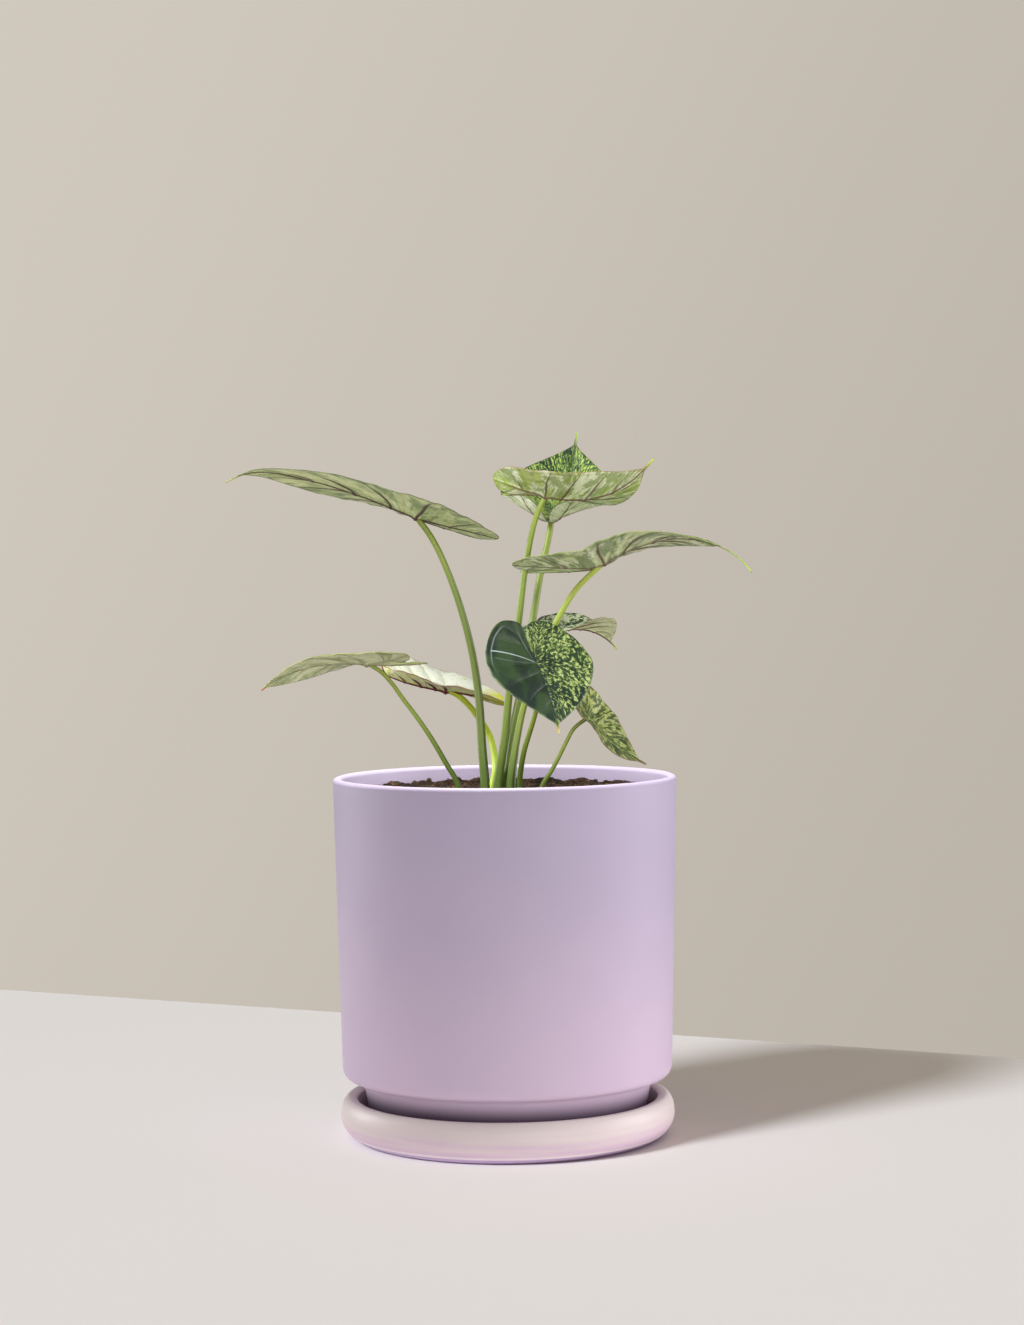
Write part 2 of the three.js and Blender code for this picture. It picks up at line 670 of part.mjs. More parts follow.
// A stem rises straight out of the soil, then follows its points to the blade, thinning as it goes.
// extra widens and deepens it, to cut its hole in the soil.
function stemGeometry(leaf, extra = 0) {
  const points = leaf.stem.map((p) => new THREE.Vector3(...p));
  const foot = points[0].clone().setZ(soilSize.height - stemDepth - extra);
  const attach = new THREE.Vector3(...leaf.attach);
  const last = points[points.length - 1];
  const into = attach.clone().sub(last).normalize();
  const end = attach.clone().addScaledVector(into, leaf.stemTop);
  const path = new THREE.CatmullRomCurve3([foot, ...points, attach, end], false, "centripetal");
  const circle = new THREE.Shape().absarc(0, 0, 1, 0, 2 * Math.PI, false);
  const settings = { steps: stemSteps, bevelEnabled: false, curveSegments: stemSides / 2, extrudePath: path };
  const geometry = new THREE.ExtrudeGeometry(circle, settings);
  const centres = path.getSpacedPoints(stemSteps);
  const position = geometry.attributes.position;
  const vertex = new THREE.Vector3();
  for (let i = 0; i < position.count; i += 1) {
    vertex.fromBufferAttribute(position, i);
    const ring = nearest(centres, vertex);
    const share = ring / stemSteps;
    const radius = leaf.stemTop + (leaf.stemBase - leaf.stemTop) * (1 - share) ** stemTaper + extra;
    vertex.sub(centres[ring]).multiplyScalar(radius).add(centres[ring]);
    position.setXYZ(i, vertex.x, vertex.y, vertex.z);
  }
  return geometry;
}

function nearest(points, target) {
  let best = 0;
  points.forEach((point, i) => {
    if (point.distanceToSquared(target) < points[best].distanceToSquared(target)) best = i;
  });
  return best;
}

const plant = new THREE.Group();

function addPiece(name, geometry, color, rough) {
  const look = new THREE.MeshStandardMaterial({ color, roughness: rough, metalness: 0 });
  const mesh = new THREE.Mesh(geometry, look);
  mesh.name = name;
  plant.add(mesh);
}

// The pieces, each with its colour and its roughness
addPiece("saucer", saucerGeometry(), colours.saucer, roughness.saucer);
addPiece("pot", potGeometry(), colours.pot, roughness.pot);

let soil = solidOf(soilGeometry());
leaves.forEach((values) => {
  const leaf = new Leaf({ ...ordinary, ...values });
  soil = soil.subtract(solidOf(stemGeometry(leaf, gap)));
  const stem = solidOf(stemGeometry(leaf)).subtract(solidOf(leaf.geometry(stemSeat)));
  addPiece(`stem_${leaf.name}`, geometryOf(largestBody(stem)), colours.stem, roughness.stem);
  addPiece(`blade_${leaf.name}`, leaf.geometry(), leaf.colour, roughness.blade);
});
addPiece("soil", geometryOf(soil), colours.soil, roughness.soil);

export default plant;
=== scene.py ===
from math import cos, dist, pi, radians, sin, sqrt

import bmesh
import bpy
import numpy as np
from mathutils import Matrix, Vector


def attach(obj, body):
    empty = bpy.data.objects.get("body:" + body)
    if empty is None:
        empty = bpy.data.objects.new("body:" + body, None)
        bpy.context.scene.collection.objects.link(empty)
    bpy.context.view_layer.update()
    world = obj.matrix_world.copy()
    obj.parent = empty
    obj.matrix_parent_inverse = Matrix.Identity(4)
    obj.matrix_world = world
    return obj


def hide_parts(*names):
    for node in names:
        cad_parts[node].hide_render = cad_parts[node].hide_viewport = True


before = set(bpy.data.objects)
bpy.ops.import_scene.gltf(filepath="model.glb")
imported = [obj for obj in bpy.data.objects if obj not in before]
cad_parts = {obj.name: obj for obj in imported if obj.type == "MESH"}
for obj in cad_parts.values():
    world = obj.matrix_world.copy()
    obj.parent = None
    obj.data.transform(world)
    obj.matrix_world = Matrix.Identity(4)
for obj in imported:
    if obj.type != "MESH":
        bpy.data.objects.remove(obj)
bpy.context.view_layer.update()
scene = bpy.context.scene
mm = 0.001
imageHeight = 1325  # pixels, with a width of 1024
latticeSize = 64  # cells of the random heights


# Values and meshes

class Values(dict):
    # a dictionary whose values are also read by name
    __getattr__ = dict.__getitem__


def smooth(t):
    t = np.clip(t, 0, 1)
    return t * t * (3 - 2 * t)


def addObject(name, data):
    added = bpy.data.objects.new(name, data)
    scene.collection.objects.link(added)
    return added


def addPiece(name, points, faces, material, replaced, slotName, attributes={}):
    mesh = bpy.data.meshes.new(name)
    mesh.from_pydata((np.asarray(points) * mm).tolist(), [], faces)
    mesh.polygons.foreach_set("use_smooth", [True] * len(mesh.polygons))
    for label, values in attributes.items():
        values = np.asarray(values, dtype=np.float32)
        kind, field = ("FLOAT", "value") if values.ndim == 1 else ("FLOAT_VECTOR", "vector")
        mesh.attributes.new(label, kind, "POINT").data.foreach_set(field, values.ravel())
    mesh.materials.append(material)
    mesh.validate()
    piece = addObject(name, mesh)
    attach(piece, "root")
    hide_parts(replaced)


def valueNoise(x, y, seed, cell):
    # smooth random heights from -1 to 1 on a square lattice
    lattice = np.random.default_rng(seed).uniform(-1, 1, (latticeSize, latticeSize))
    gx, gy = np.asarray(x) / cell + latticeSize // 2, np.asarray(y) / cell + latticeSize // 2
    ix, iy = np.floor(gx).astype(int), np.floor(gy).astype(int)
    tx, ty = smooth(gx - ix), smooth(gy - iy)

    def edgeHeight(row):
        low, high = (lattice[(ix + a) % latticeSize, (iy + row) % latticeSize] for a in (0, 1))
        return low * (1 - tx) + high * tx

    return edgeHeight(0) * (1 - ty) + edgeHeight(1) * ty


# Shader helpers

class Nodes:
    # a node tree and what is built in it
    def __init__(self, tree, material=None):
        self.tree = tree
        self.material = material

    def fill(self, node, inputs):
        for key, value in inputs.items():
            if isinstance(value, bpy.types.NodeSocket):
                self.tree.links.new(value, node.inputs[key])
            else:
                node.inputs[key].default_value = value
        return node

    def add(self, kind, inputs=None, **settings):
        node = self.tree.nodes.new("ShaderNode" + kind)
        for key, value in settings.items():
            setattr(node, key, value)
        return self.fill(node, inputs or {}).outputs

    def maths(self, operation, a, b=0.0):
        return self.add("Math", {0: a, 1: b}, operation=operation)[0]

    def vector(self, operation, a, b):
        second = 3 if operation == "SCALE" else 1
        return self.add("VectorMath", {0: a, second: b}, operation=operation)

    def times(self, value, *factors):
        for factor in factors:
            value = self.maths("MULTIPLY", value, factor)
        return value

    def apart(self, a, b):
        return self.maths("ABSOLUTE", self.maths("SUBTRACT", a, b))

    def axes(self, vector):
        return self.add("SeparateXYZ", {0: vector})

    def place(self):
        return self.add("TexCoord")["Object"]

    def noise(self, vector, scale, detail=2.0, roughness=0.5, distortion=0.0):
        values = {"Scale": scale, "Detail": detail, "Roughness": roughness, "Distortion": distortion}
        return self.add("TexNoise", {"Vector": vector, **values})

    def ramp(self, value, low, high, toLow=0.0, toHigh=1.0):
        inputs = {"Value": value, "From Min": low, "From Max": high, "To Min": toLow, "To Max": toHigh}
        return self.add("MapRange", inputs, interpolation_type="SMOOTHSTEP")["Result"]

    def mix(self, factor, a, b, blend="MIX"):
        return self.add("Mix", {"Factor": factor, 6: a, 7: b}, data_type="RGBA", blend_type=blend)[2]

    def carried(self, label, output="Fac"):
        return self.add("Attribute", attribute_name=label)[output]

    def group(self, group, inputs):
        return self.add("Group", inputs, node_tree=group)

    def coat(self, look, shade, *coats):
        # lays web colours of a look over a shade, each by its mask and its strength, if it has one
        for key, mask, *strength in coats:
            shade = self.mix(self.times(mask, *strength), shade, colour(look[key]))
        return shade

    def finish(self, shade, roughness, height, strength, distance):
        bump = self.add("Bump", {"Strength": strength, "Distance": distance, "Height": height})[0]
        shader = self.tree.nodes["Principled BSDF"]
        self.fill(shader, {"Base Color": shade, "Roughness": roughness, "Normal": bump})
        return self.material

    def give(self, outputs):
        self.fill(self.tree.nodes["Group Output"], outputs)
        return self.tree


def colour(hexValue):
    # a web colour as linear light
    parts = [int(hexValue[i:i + 2], 16) / 255 for i in (0, 2, 4)]
    linear = [c / 12.92 if c <= 0.04045 else ((c + 0.055) / 1.055) ** 2.4 for c in parts]
    return (*linear, 1.0)


def newMaterial(name):
    material = bpy.data.materials.new(name)
    material.use_nodes = True
    return Nodes(material.node_tree, material)


def newGroup(name, inputs, outputs):
    tree = bpy.data.node_groups.new(name, "ShaderNodeTree")
    for label, value in inputs.items():
        kind = "NodeSocketVector" if isinstance(value, tuple) else "NodeSocketFloat"
        tree.interface.new_socket(label, in_out="INPUT", socket_type=kind).default_value = value
    for label in outputs:
        tree.interface.new_socket(label, in_out="OUTPUT", socket_type="NodeSocketFloat")
    tree.nodes.new("NodeGroupOutput")
    return Nodes(tree), tree.nodes.new("NodeGroupInput").outputs


def makeVeinLines():
    # midrib, side veins and the fine net between them, from the distances that the blades carry
    inputs = {"Rib Width": 1, "Vein Width": 0.6, "Net Size": 4}
    n, given = newGroup("vein lines", inputs, ["Rib", "Vein", "Halo", "Net"])
    ribDistance, veinDistance = n.carried("ribMm"), n.carried("veinMm")
    edge, dark = n.carried("edgeMm"), n.carried("veinDark")
    along = n.maths("ABSOLUTE", n.carried("row"))
    ribEdge = n.times(given["Rib Width"], n.maths("SUBTRACT", 1, n.times(along, 0.62)))
    rib = n.ramp(ribDistance, ribEdge, n.times(ribEdge, 0.5))
    veinEdge = n.times(given["Vein Width"], n.ramp(edge, 1.5, 16, 0.45, 1))
    vein = n.ramp(veinDistance, veinEdge, n.times(veinEdge, 0.4))
    vein = n.times(vein, n.ramp(edge, 1, 3.5), dark)
    # the vein that collects the others runs just inside the margin
    collecting = n.times(n.ramp(n.apart(edge, 2.4), 0.55, 0.15), 0.2)
    vein = n.maths("MAXIMUM", vein, collecting)
    space = n.carried("veinSpace", "Vector")
    moved = n.vector("SCALE", n.noise(space, 0.25)["Color"], 3)[0]
    bent = n.vector("ADD", space, moved)[0]
    scale = n.maths("DIVIDE", 1, given["Net Size"])
    cells = n.add("TexVoronoi", {"Vector": bent, "Scale": scale}, feature="DISTANCE_TO_EDGE")
    net = n.ramp(cells["Distance"], 0.11, 0.02)
    halo = n.times(n.ramp(veinDistance, 3.6, 0.5), dark)
    halo = n.maths("MAXIMUM", halo, n.ramp(ribDistance, 4.5, 0.8))
    return n.give({"Rib": rib, "Vein": vein, "Halo": halo, "Net": net})


def makeMottling():
    # flecks that run along the side veins, with a softer halo and paler cores
    inputs = {"Length": 4, "Thickness": 1.1, "Amount": 0.5, "Seed": 0}
    n, given = newGroup("mottling", inputs, ["Halo", "Flecks", "Cores", "Clouds"])
    parts = n.axes(n.carried("veinSpace", "Vector"))
    across = n.maths("DIVIDE", parts[0], given["Thickness"])
    along = n.maths("DIVIDE", parts[1], given["Length"])
    stretched = n.add("CombineXYZ", {0: across, 1: along, 2: given["Seed"]})[0]
    plain = n.add("CombineXYZ", {0: parts[0], 1: parts[1], 2: given["Seed"]})[0]
    clouds = n.noise(plain, 0.07)[0]
    level = n.maths("ADD", n.noise(stretched, 0.55, 3, 0.62, 0.6)[0], n.times(clouds, 0.35))
    # an amount of 0.5 covers half of the blade
    inputs = {"Value": given["Amount"], "To Min": 0.84, "To Max": 0.51}
    above = n.maths("SUBTRACT", level, n.add("MapRange", inputs, clamp=False)[0])
    return n.give({
        "Halo": n.ramp(above, -0.11, -0.01), "Flecks": n.ramp(above, -0.015, 0.02),
        "Cores": n.ramp(above, 0.05, 0.11), "Clouds": clouds,
    })


def makePaintedVein():
    # one vein that leaves the stem joint across the flat blade and bends a little
    inputs = {"Direction": (1, 0, 0), "Bend": 0, "Length": 20, "Width": 0.8}
    n, given = newGroup("painted vein", inputs, ["Vein"])
    flat = n.carried("flat", "Vector")
    along = n.vector("DOT_PRODUCT", flat, given["Direction"])["Value"]
    turned = n.vector("CROSS_PRODUCT", given["Direction"], (0, 0, 1))[0]
    across = n.vector("DOT_PRODUCT", flat, turned)["Value"]
    offset = n.apart(across, n.times(along, along, given["Bend"]))
    reach = n.maths("DIVIDE", along, given["Length"])
    width = n.times(given["Width"], n.ramp(reach, 0, 1, 0.45, 1))
    line = n.ramp(offset, width, n.times(width, 0.35))
    line = n.times(line, n.ramp(reach, 0, 0.08), n.ramp(reach, 1.03, 0.97))
    return n.give({"Vein": line})


def makeGlazePits():
    # pinholes and faint clouds in a matte glaze
    n, given = newGroup("glaze pits", {"Spacing": 14, "Size": 0.03}, ["Pits", "Clouds", "Grain"])
    place = n.place()
    scale = n.maths("DIVIDE", 1 / mm, given["Spacing"])
    cells = n.add("TexVoronoi", {"Vector": place, "Scale": scale})
    pits = n.ramp(cells["Distance"], given["Size"], 0)
    return n.give({
        "Pits": n.times(pits, n.ramp(n.axes(cells["Color"])[0], 0.45, 0.9)),
        "Clouds": n.noise(place, 11, 3)[0], "Grain": n.noise(place, 900)[0],
    })


veinLines = makeVeinLines()
mottling = makeMottling()
paintedVein = makePaintedVein()
glazePits = makeGlazePits()
print("shader groups made")


# Pottery

# the saucer's band colours are painted light: a painted reflection towards the lip, a painted highlight line
# above the foot and painted shade on the strip below it
saucerSize = Values(
    radius=99.4, bulgeHeight=12.8, baseRadius=88, flankRadius=97.9, flankHeight=3, shoulderHeight=22.1,
    rimOuterRadius=94.8, rimInnerRadius=89.2, rimRound=2.2, height=24.6, floor=6, floorRadius=84.5,
    wallFootRadius=88, floorFillet=6, glaze="dcc2d6", paintedLipReflection="eadbd9", roughness=0.42, lineHeight=0.0042,
    paintedEdgeHighlight="f2e8ea", paintedUndercutShade="c4a8cc", pit="8a7690",
)
# the pot's tints by height are painted bounce light below and painted shade above, and the foot's tint is
# painted shadow
potSize = Values(
    rimRadius=102, rimHeight=214.1, wall=5, lowerRadius=98.1, lowerEdge=36, edgeRound=7, footRadius=81,
    footTopRadius=85.5, footWall=6, footRound=2, stepFillet=4, ledgeStep=2, floor=8, floorFillet=3,
    drainRadius=8, standGap=0.3, rimSteps=19, glaze="c2b3ca", pit="8a7690", roughness=0.55,
    lowerTint=(1.2, 1.13, 1.13, 1), upperTint=(0.9, 0.91, 0.95, 1), footTint=(0.16, 0.13, 0.16, 1),
)
footBottom = saucerSize.floor + potSize.standGap
turnSteps = 192


def curveTo(path, control, end, steps=10):
    start, control, end = np.array([path[-1], control, end], float)
    for t in np.linspace(0, 1, steps + 1)[1:]:
        path.append(tuple(start * (1 - t) ** 2 + control * 2 * t * (1 - t) + end * t * t))


def ringFaces(rings, n, start=0):
    # faces between rings of n points each
    turn = [(j, (j + 1) % n) for j in range(n)]
    firsts = [start + i * n for i in range(rings)]
    return [[a + j, a + k, a + n + k, a + n + j] for a in firsts for j, k in turn]


def turnedMesh(path):
    # spins a profile of radius and height about the pot's axis
    angles = np.linspace(0, 2 * pi, turnSteps, endpoint=False)
    circle = list(zip(np.cos(angles), np.sin(angles)))
    points = [(radius * x, radius * y, height) for radius, height in path for x, y in circle]
    faces = ringFaces(len(path) - 1, turnSteps)
    for number, (a, b, c, d) in enumerate(faces):
        i = number // turnSteps
        if path[i][0] == 0:
            faces[number] = [i * turnSteps, c, d]
        elif path[i + 1][0] == 0:
            faces[number] = [a, b, (i + 1) * turnSteps]
    return points, faces


def withSteps(path, longest=9):
    # long straight runs get points in between, so that the glaze shades evenly
    full = [path[0]]
    for a, b in zip(path, path[1:]):
        count = max(1, int(dist(a, b) / longest))
        full += [tuple(np.array(a) + (np.array(b) - np.array(a)) * k / count) for k in range(1, count + 1)]
    return full


def saucerProfile():
    s = saucerSize
    path = [(0, 0), (s.baseRadius, 0)]
    curveTo(path, (s.flankRadius, s.flankHeight), (s.radius, s.bulgeHeight))
    curveTo(path, (s.radius, s.shoulderHeight), (s.rimOuterRadius, s.height))
    curveTo(path, (s.rimInnerRadius, s.height), (s.rimInnerRadius, s.height - s.rimRound))
    path.append((s.wallFootRadius, s.floor + s.floorFillet))
    curveTo(path, (s.wallFootRadius, s.floor), (s.floorRadius, s.floor))
    path.append((0, s.floor))
    return withSteps(path)


def potProfile():
    p = potSize
    half = p.wall / 2
    top = p.rimHeight - half
    path = [(p.drainRadius, footBottom), (p.footRadius - p.footRound, footBottom)]
    curveTo(path, (p.footRadius, footBottom), (p.footRadius, footBottom + p.footRound))
    path.append((p.footTopRadius, p.lowerEdge - p.stepFillet))
    curveTo(path, (p.footTopRadius, p.lowerEdge), (p.footTopRadius + p.stepFillet, p.lowerEdge))
    path.append((p.lowerRadius - p.edgeRound, p.lowerEdge))
    curveTo(path, (p.lowerRadius, p.lowerEdge), (p.lowerRadius, p.lowerEdge + p.edgeRound))
    for angle in np.linspace(0, pi, p.rimSteps):
        path.append((p.rimRadius - half + half * cos(angle), top + half * sin(angle)))
    lower = p.lowerRadius - p.wall
    foot = p.footRadius - p.footWall
    ledge = p.lowerEdge + p.wall
    floor = footBottom + p.floor
    path.append((lower, ledge + p.edgeRound))
    curveTo(path, (lower, ledge), (lower - p.edgeRound, ledge))
    path.append((foot, ledge - p.ledgeStep))
    path.append((foot, floor + p.floorFillet))
    curveTo(path, (foot, floor), (foot - p.floorFillet, floor))
    path += [(p.drainRadius, floor), (p.drainRadius, footBottom)]
    return withSteps(path)


def glazeMaterial(name, values):
    # the heights here are in metres, as the coordinates are
    n = newMaterial(name)
    place = n.place()
    height = n.axes(place)[2]
    pits = n.group(glazePits, {"Spacing": 15, "Size": 0.028})
    base = colour(values.glaze)
    paler = n.mix(1, base, (1.05, 1.04, 1.03, 1), "MULTIPLY")
    shade = n.mix(n.ramp(pits["Clouds"], 0.35, 0.65), base, paler)
    if "paintedLipReflection" in values:
        # painted light in bands: a warmer band towards the lip is a painted reflection with a streaky edge, a
        # pale line above the foot is a painted highlight, and the lilac strip below it is painted shade
        squeezed = n.vector("MULTIPLY", place, (14, 14, 230))[0]
        strokes = n.ramp(n.noise(squeezed, 1, 3)[0], 0.25, 0.75, -0.005, 0.005)
        reflectionBand = n.ramp(n.maths("ADD", height, strokes), 0.002, 0.02)
        # a painted highlight line above the foot, and painted shade on the strip below it
        line = n.ramp(n.apart(height, values.lineHeight), 0.0011, 0.0004)
        low = n.ramp(height, values.lineHeight - 0.0006, values.lineHeight - 0.0014)
        shade = n.coat(values, shade, ("paintedLipReflection", reflectionBand), ("paintedEdgeHighlight", line, 0.7), ("paintedUndercutShade", low))
    if "lowerTint" in values:
        # painted light: paler and pinker towards the lower edge as painted bounce light, cooler and darker
        # towards the top as painted shade, and painted shadow over the foot between the pot and the saucer
        tint = n.mix(n.ramp(height, 0.02, 0.21), values.lowerTint, values.upperTint)
        shade = n.mix(1, shade, tint, "MULTIPLY")
        # painted shadow: the foot darkens downwards where it stands in the saucer's gap
        shadedFoot = n.mix(1, shade, values.footTint, "MULTIPLY")
        shade = n.mix(n.ramp(height, 0.036, 0.0217), shade, shadedFoot)
    shade = n.coat(values, shade, ("pit", pits["Pits"], 0.6))
    relief = n.maths("SUBTRACT", n.times(pits["Grain"], 0.25), pits["Pits"])
    return n.finish(shade, values.roughness, relief, 0.35, 0.0002)


for label, size, profile in ("saucer", saucerSize, saucerProfile), ("pot", potSize, potProfile):
    glaze = glazeMaterial(label + " glaze", size)
    addPiece(label + "Turned", *turnedMesh(profile()), glaze, label, label + "_ceramic")
print("pottery turned")


# Soil

soilSize = Values(
    height=205, inset=0.6, rings=110, segments=220, skirt=12, bedTint=0.25, crumbs=1100, smallest=0.6,
    largest=2.6, seed=11, flattest=(0.7, 0.5, 0.3), fullest=(1.3, 0.9, 0.75), rough=0.22, spin=6.28,
    tilt=0.6, lift=0.05,
)
# height, paces and start of each wave, then height, seed and cell of each layer of noise
crumbWaves = [(0.7, 0.31, 0.05, 1.3), (0.5, -0.12, 0.38, 0.4), (0.35, 0.83, -0.61, 2.1), (0.3, 0.42, 0.97, 0)]
crumbNoise = [(0.9, 3, 4.1), (0.6, 5, 1.9), (0.35, 8, 0.9)]
soilLook = Values(bed="452f1a", clump="785634", reddish="9c6e42", olive="7d7438", dark="2b1d10")


def soilHeight(x, y):
    lift = sum(h * np.sin(x * a + y * b + start) for h, a, b, start in crumbWaves)
    fine = sum(h * valueNoise(x, y, seed, cell) for h, seed, cell in crumbNoise)
    return soilSize.height + lift + fine


def soilMesh():
    # a rough bed inside the pot, with crumbs strewn over it
    s = soilSize
    n = s.segments
    radius = potSize.rimRadius - potSize.wall - s.inset
    underneath = s.height - s.skirt
    points = [(0, 0, float(soilHeight(0, 0)))]
    angles = np.linspace(0, 2 * pi, n, endpoint=False)
    for ring in range(1, s.rings + 1):
        r = radius * ring / s.rings
        x, y = r * np.cos(angles), r * np.sin(angles)
        points += np.stack([x, y, soilHeight(x, y)], -1).tolist()
    x, y = radius * np.cos(angles), radius * np.sin(angles)
    points += np.stack([x, y, np.full_like(x, underneath)], -1).tolist()
    points.append((0, 0, underneath))
    faces = [[0, 1 + j, 1 + (j + 1) % n] for j in range(n)]
    faces += [[a, d, c, b] for a, b, c, d in ringFaces(s.rings, n, 1)]
    last = 1 + s.rings * n
    faces += [[last + (j + 1) % n, last + j, last + n] for j in range(n)]
    tint = [s.bedTint] * len(points)
    shape = bmesh.new()
    bmesh.ops.create_icosphere(shape, subdivisions=1, radius=1.0)
    corners = np.array([v.co[:] for v in shape.verts])
    ballFaces = [[v.index for v in face.verts] for face in shape.faces]
    shape.free()
    random = np.random.default_rng(s.seed)
    for _ in range(s.crumbs):
        size = s.smallest + (s.largest - s.smallest) * random.random() ** 3
        far = (radius - size) * sqrt(random.random())
        turn = random.uniform(0, 2 * pi)
        cx, cy = far * cos(turn), far * sin(turn)
        stretch = random.uniform(s.flattest, s.fullest)
        rough = 1 + random.uniform(-s.rough, s.rough, len(corners))
        spin = Matrix.Rotation(random.uniform(0, s.spin), 3, "Z")
        spin = spin @ Matrix.Rotation(random.uniform(-s.tilt, s.tilt), 3, "X")
        crumb = (corners * rough[:, None] * stretch * size) @ np.array(spin).T
        crumb += (cx, cy, float(soilHeight(cx, cy)) + s.lift * size)
        faces += [[len(points) + i for i in face] for face in ballFaces]
        points += crumb.tolist()
        tint += [random.random()] * len(corners)
    return points, faces, {"tint": tint}


def soilMaterial():
    n = newMaterial("moist soil")
    place = n.place()
    grain = n.noise(place, 420, 6, 0.7)[0]
    clumps = n.noise(place, 90, 3)[0]
    tint = n.carried("tint")
    shade = n.coat(
        soilLook, colour(soilLook.bed), ("clump", n.ramp(clumps, 0.4, 0.62)),
        ("reddish", n.ramp(tint, 0.45, 0.75)), ("olive", n.ramp(tint, 0.86, 0.93)),
        ("dark", n.ramp(grain, 0.62, 0.4)),
    )
    return n.finish(shade, 0.85, grain, 0.8, 0.0006)


points, faces, attributes = soilMesh()
addPiece("soilCrumbs", points, faces, soilMaterial(), "soil", "soil", attributes)
print("soil strewn")


# Leaves

bladeSize = Values(
    thickness=0.72, marginThickness=0.5, marginBand=6, dripHalfWidth=0.9, dripPower=0.5, hookStart=0.72,
    flatTipWidth=4, rearBendEnd=0.25, sinusOpening=0.12, veinGather=0.5, veinBow=0.2, bowFade=3,
    veinWander=1.3, wanderPace=5.3, wanderSeed=31, forwardLean=1.9, rearLean=0.9, rowsFront=76, rowsRear=34,
    nearVein=(0, 0.3, 0.65, 1.1, 1.7), veinClear=1.9, columns=30, innerColumns=14, columnPower=1.55,
    spineSteps=120, ribHeight=1.05, ribHalfWidth=1, ribNarrowest=0.45, ribThinning=0.72, ribGroove=0.35,
    veinHeight=0.42, veinHalfWidth=0.6, veinGroove=0.12, veinFade=12, flapVeinGap=4, knobRadius=2.2,
    knobHeight=0.8, puff=0.9, puffEnds=(-1.15, 0.95), puffPower=0.8, puffSides=0.7, puffLength=20,
    edgeRipple=0.35, ripplePaces=(0.31, 0.67), rippleStarts=(1, 2.6), secondRipple=0.6,
)
# where each side vein starts and how dark it is: a share of the midrib, or below 0 of the rear rib
sideVeins = {0: 1, 0.2: 1, 0.4: 0.95, 0.6: 0.8, 0.78: 0.45, -0.42: 0.8, -0.72: 0.35}
# pairs are for the left and the right half
ordinary = Values(
    drip=8, sinus=8, sinusPower=2, wide=0.05, fullness=2, shoulder=1, lobeIn=0.5, foldTip=0, foldLobe=(0, 0),
    curl=(12, 12), droopPower=1.5, hook=0, rearBend=0, lobeDroop=0, sway=0, twist=0, twistLobe=0, waves=1.5,
    wave=(0, 0), phase=(0, 0), stemPaint="green", slot="leaf_green",
)


def bendSpine(leaf):
    # the midrib in space, and its frame at each station
    heading, pitch, roll = np.radians(leaf.turn)
    along = np.array([cos(pitch) * cos(heading), cos(pitch) * sin(heading), sin(pitch)])
    level = np.array([-sin(heading), cos(heading), 0])
    over = np.cross(along, level)
    side = level * cos(roll) + over * sin(roll)
    up = over * cos(roll) - level * sin(roll)

    def frameAt(bend, sway, twist):
        bend, sway, twist = (np.radians(angle)[:, None] for angle in (bend, sway, twist))
        a = along * np.cos(sway) + side * np.sin(sway)
        b = side * np.cos(sway) - along * np.sin(sway)
        forward = a * np.cos(bend) + up * np.sin(bend)
        risen = up * np.cos(bend) - a * np.sin(bend)
        return forward, b * np.cos(twist) + risen * np.sin(twist), risen * np.cos(twist) - b * np.sin(twist)

    def frontFrame(u):
        hook = leaf.hook * smooth((u - bladeSize.hookStart) / (1 - bladeSize.hookStart))
        return frameAt(-(leaf.droop * u ** leaf.droopPower + hook), leaf.sway * u, leaf.twist * u)

    def rearFrame(u):
        bend = leaf.rearBend * smooth(u / bladeSize.rearBendEnd) + leaf.lobeDroop * u
        return frameAt(bend, 0 * u, leaf.twistLobe * u)

    def run(length, frameOf):
        steps = bladeSize.spineSteps
        middle = (np.arange(steps) + 0.5) / steps
        points = np.cumsum(frameOf(middle)[0] * length / steps, 0)
        points = np.concatenate([[np.zeros(3)], points]) + leaf.attach
        _, sides, ups = frameOf(np.arange(steps + 1) / steps)
        return points, sides, ups

    front = run(leaf.front, frontFrame)
    rear = run(-leaf.lobe, rearFrame)
    steps = bladeSize.spineSteps
    stations = [-np.linspace(leaf.lobe, 0, steps + 1)[:-1], np.linspace(0, leaf.front, steps + 1)]
    spine, sides, ups = (np.concatenate([r[::-1][:-1], f]) for r, f in zip(rear, front))
    leaf.update(stations=np.concatenate(stations), spine=spine, sides=sides, ups=ups)


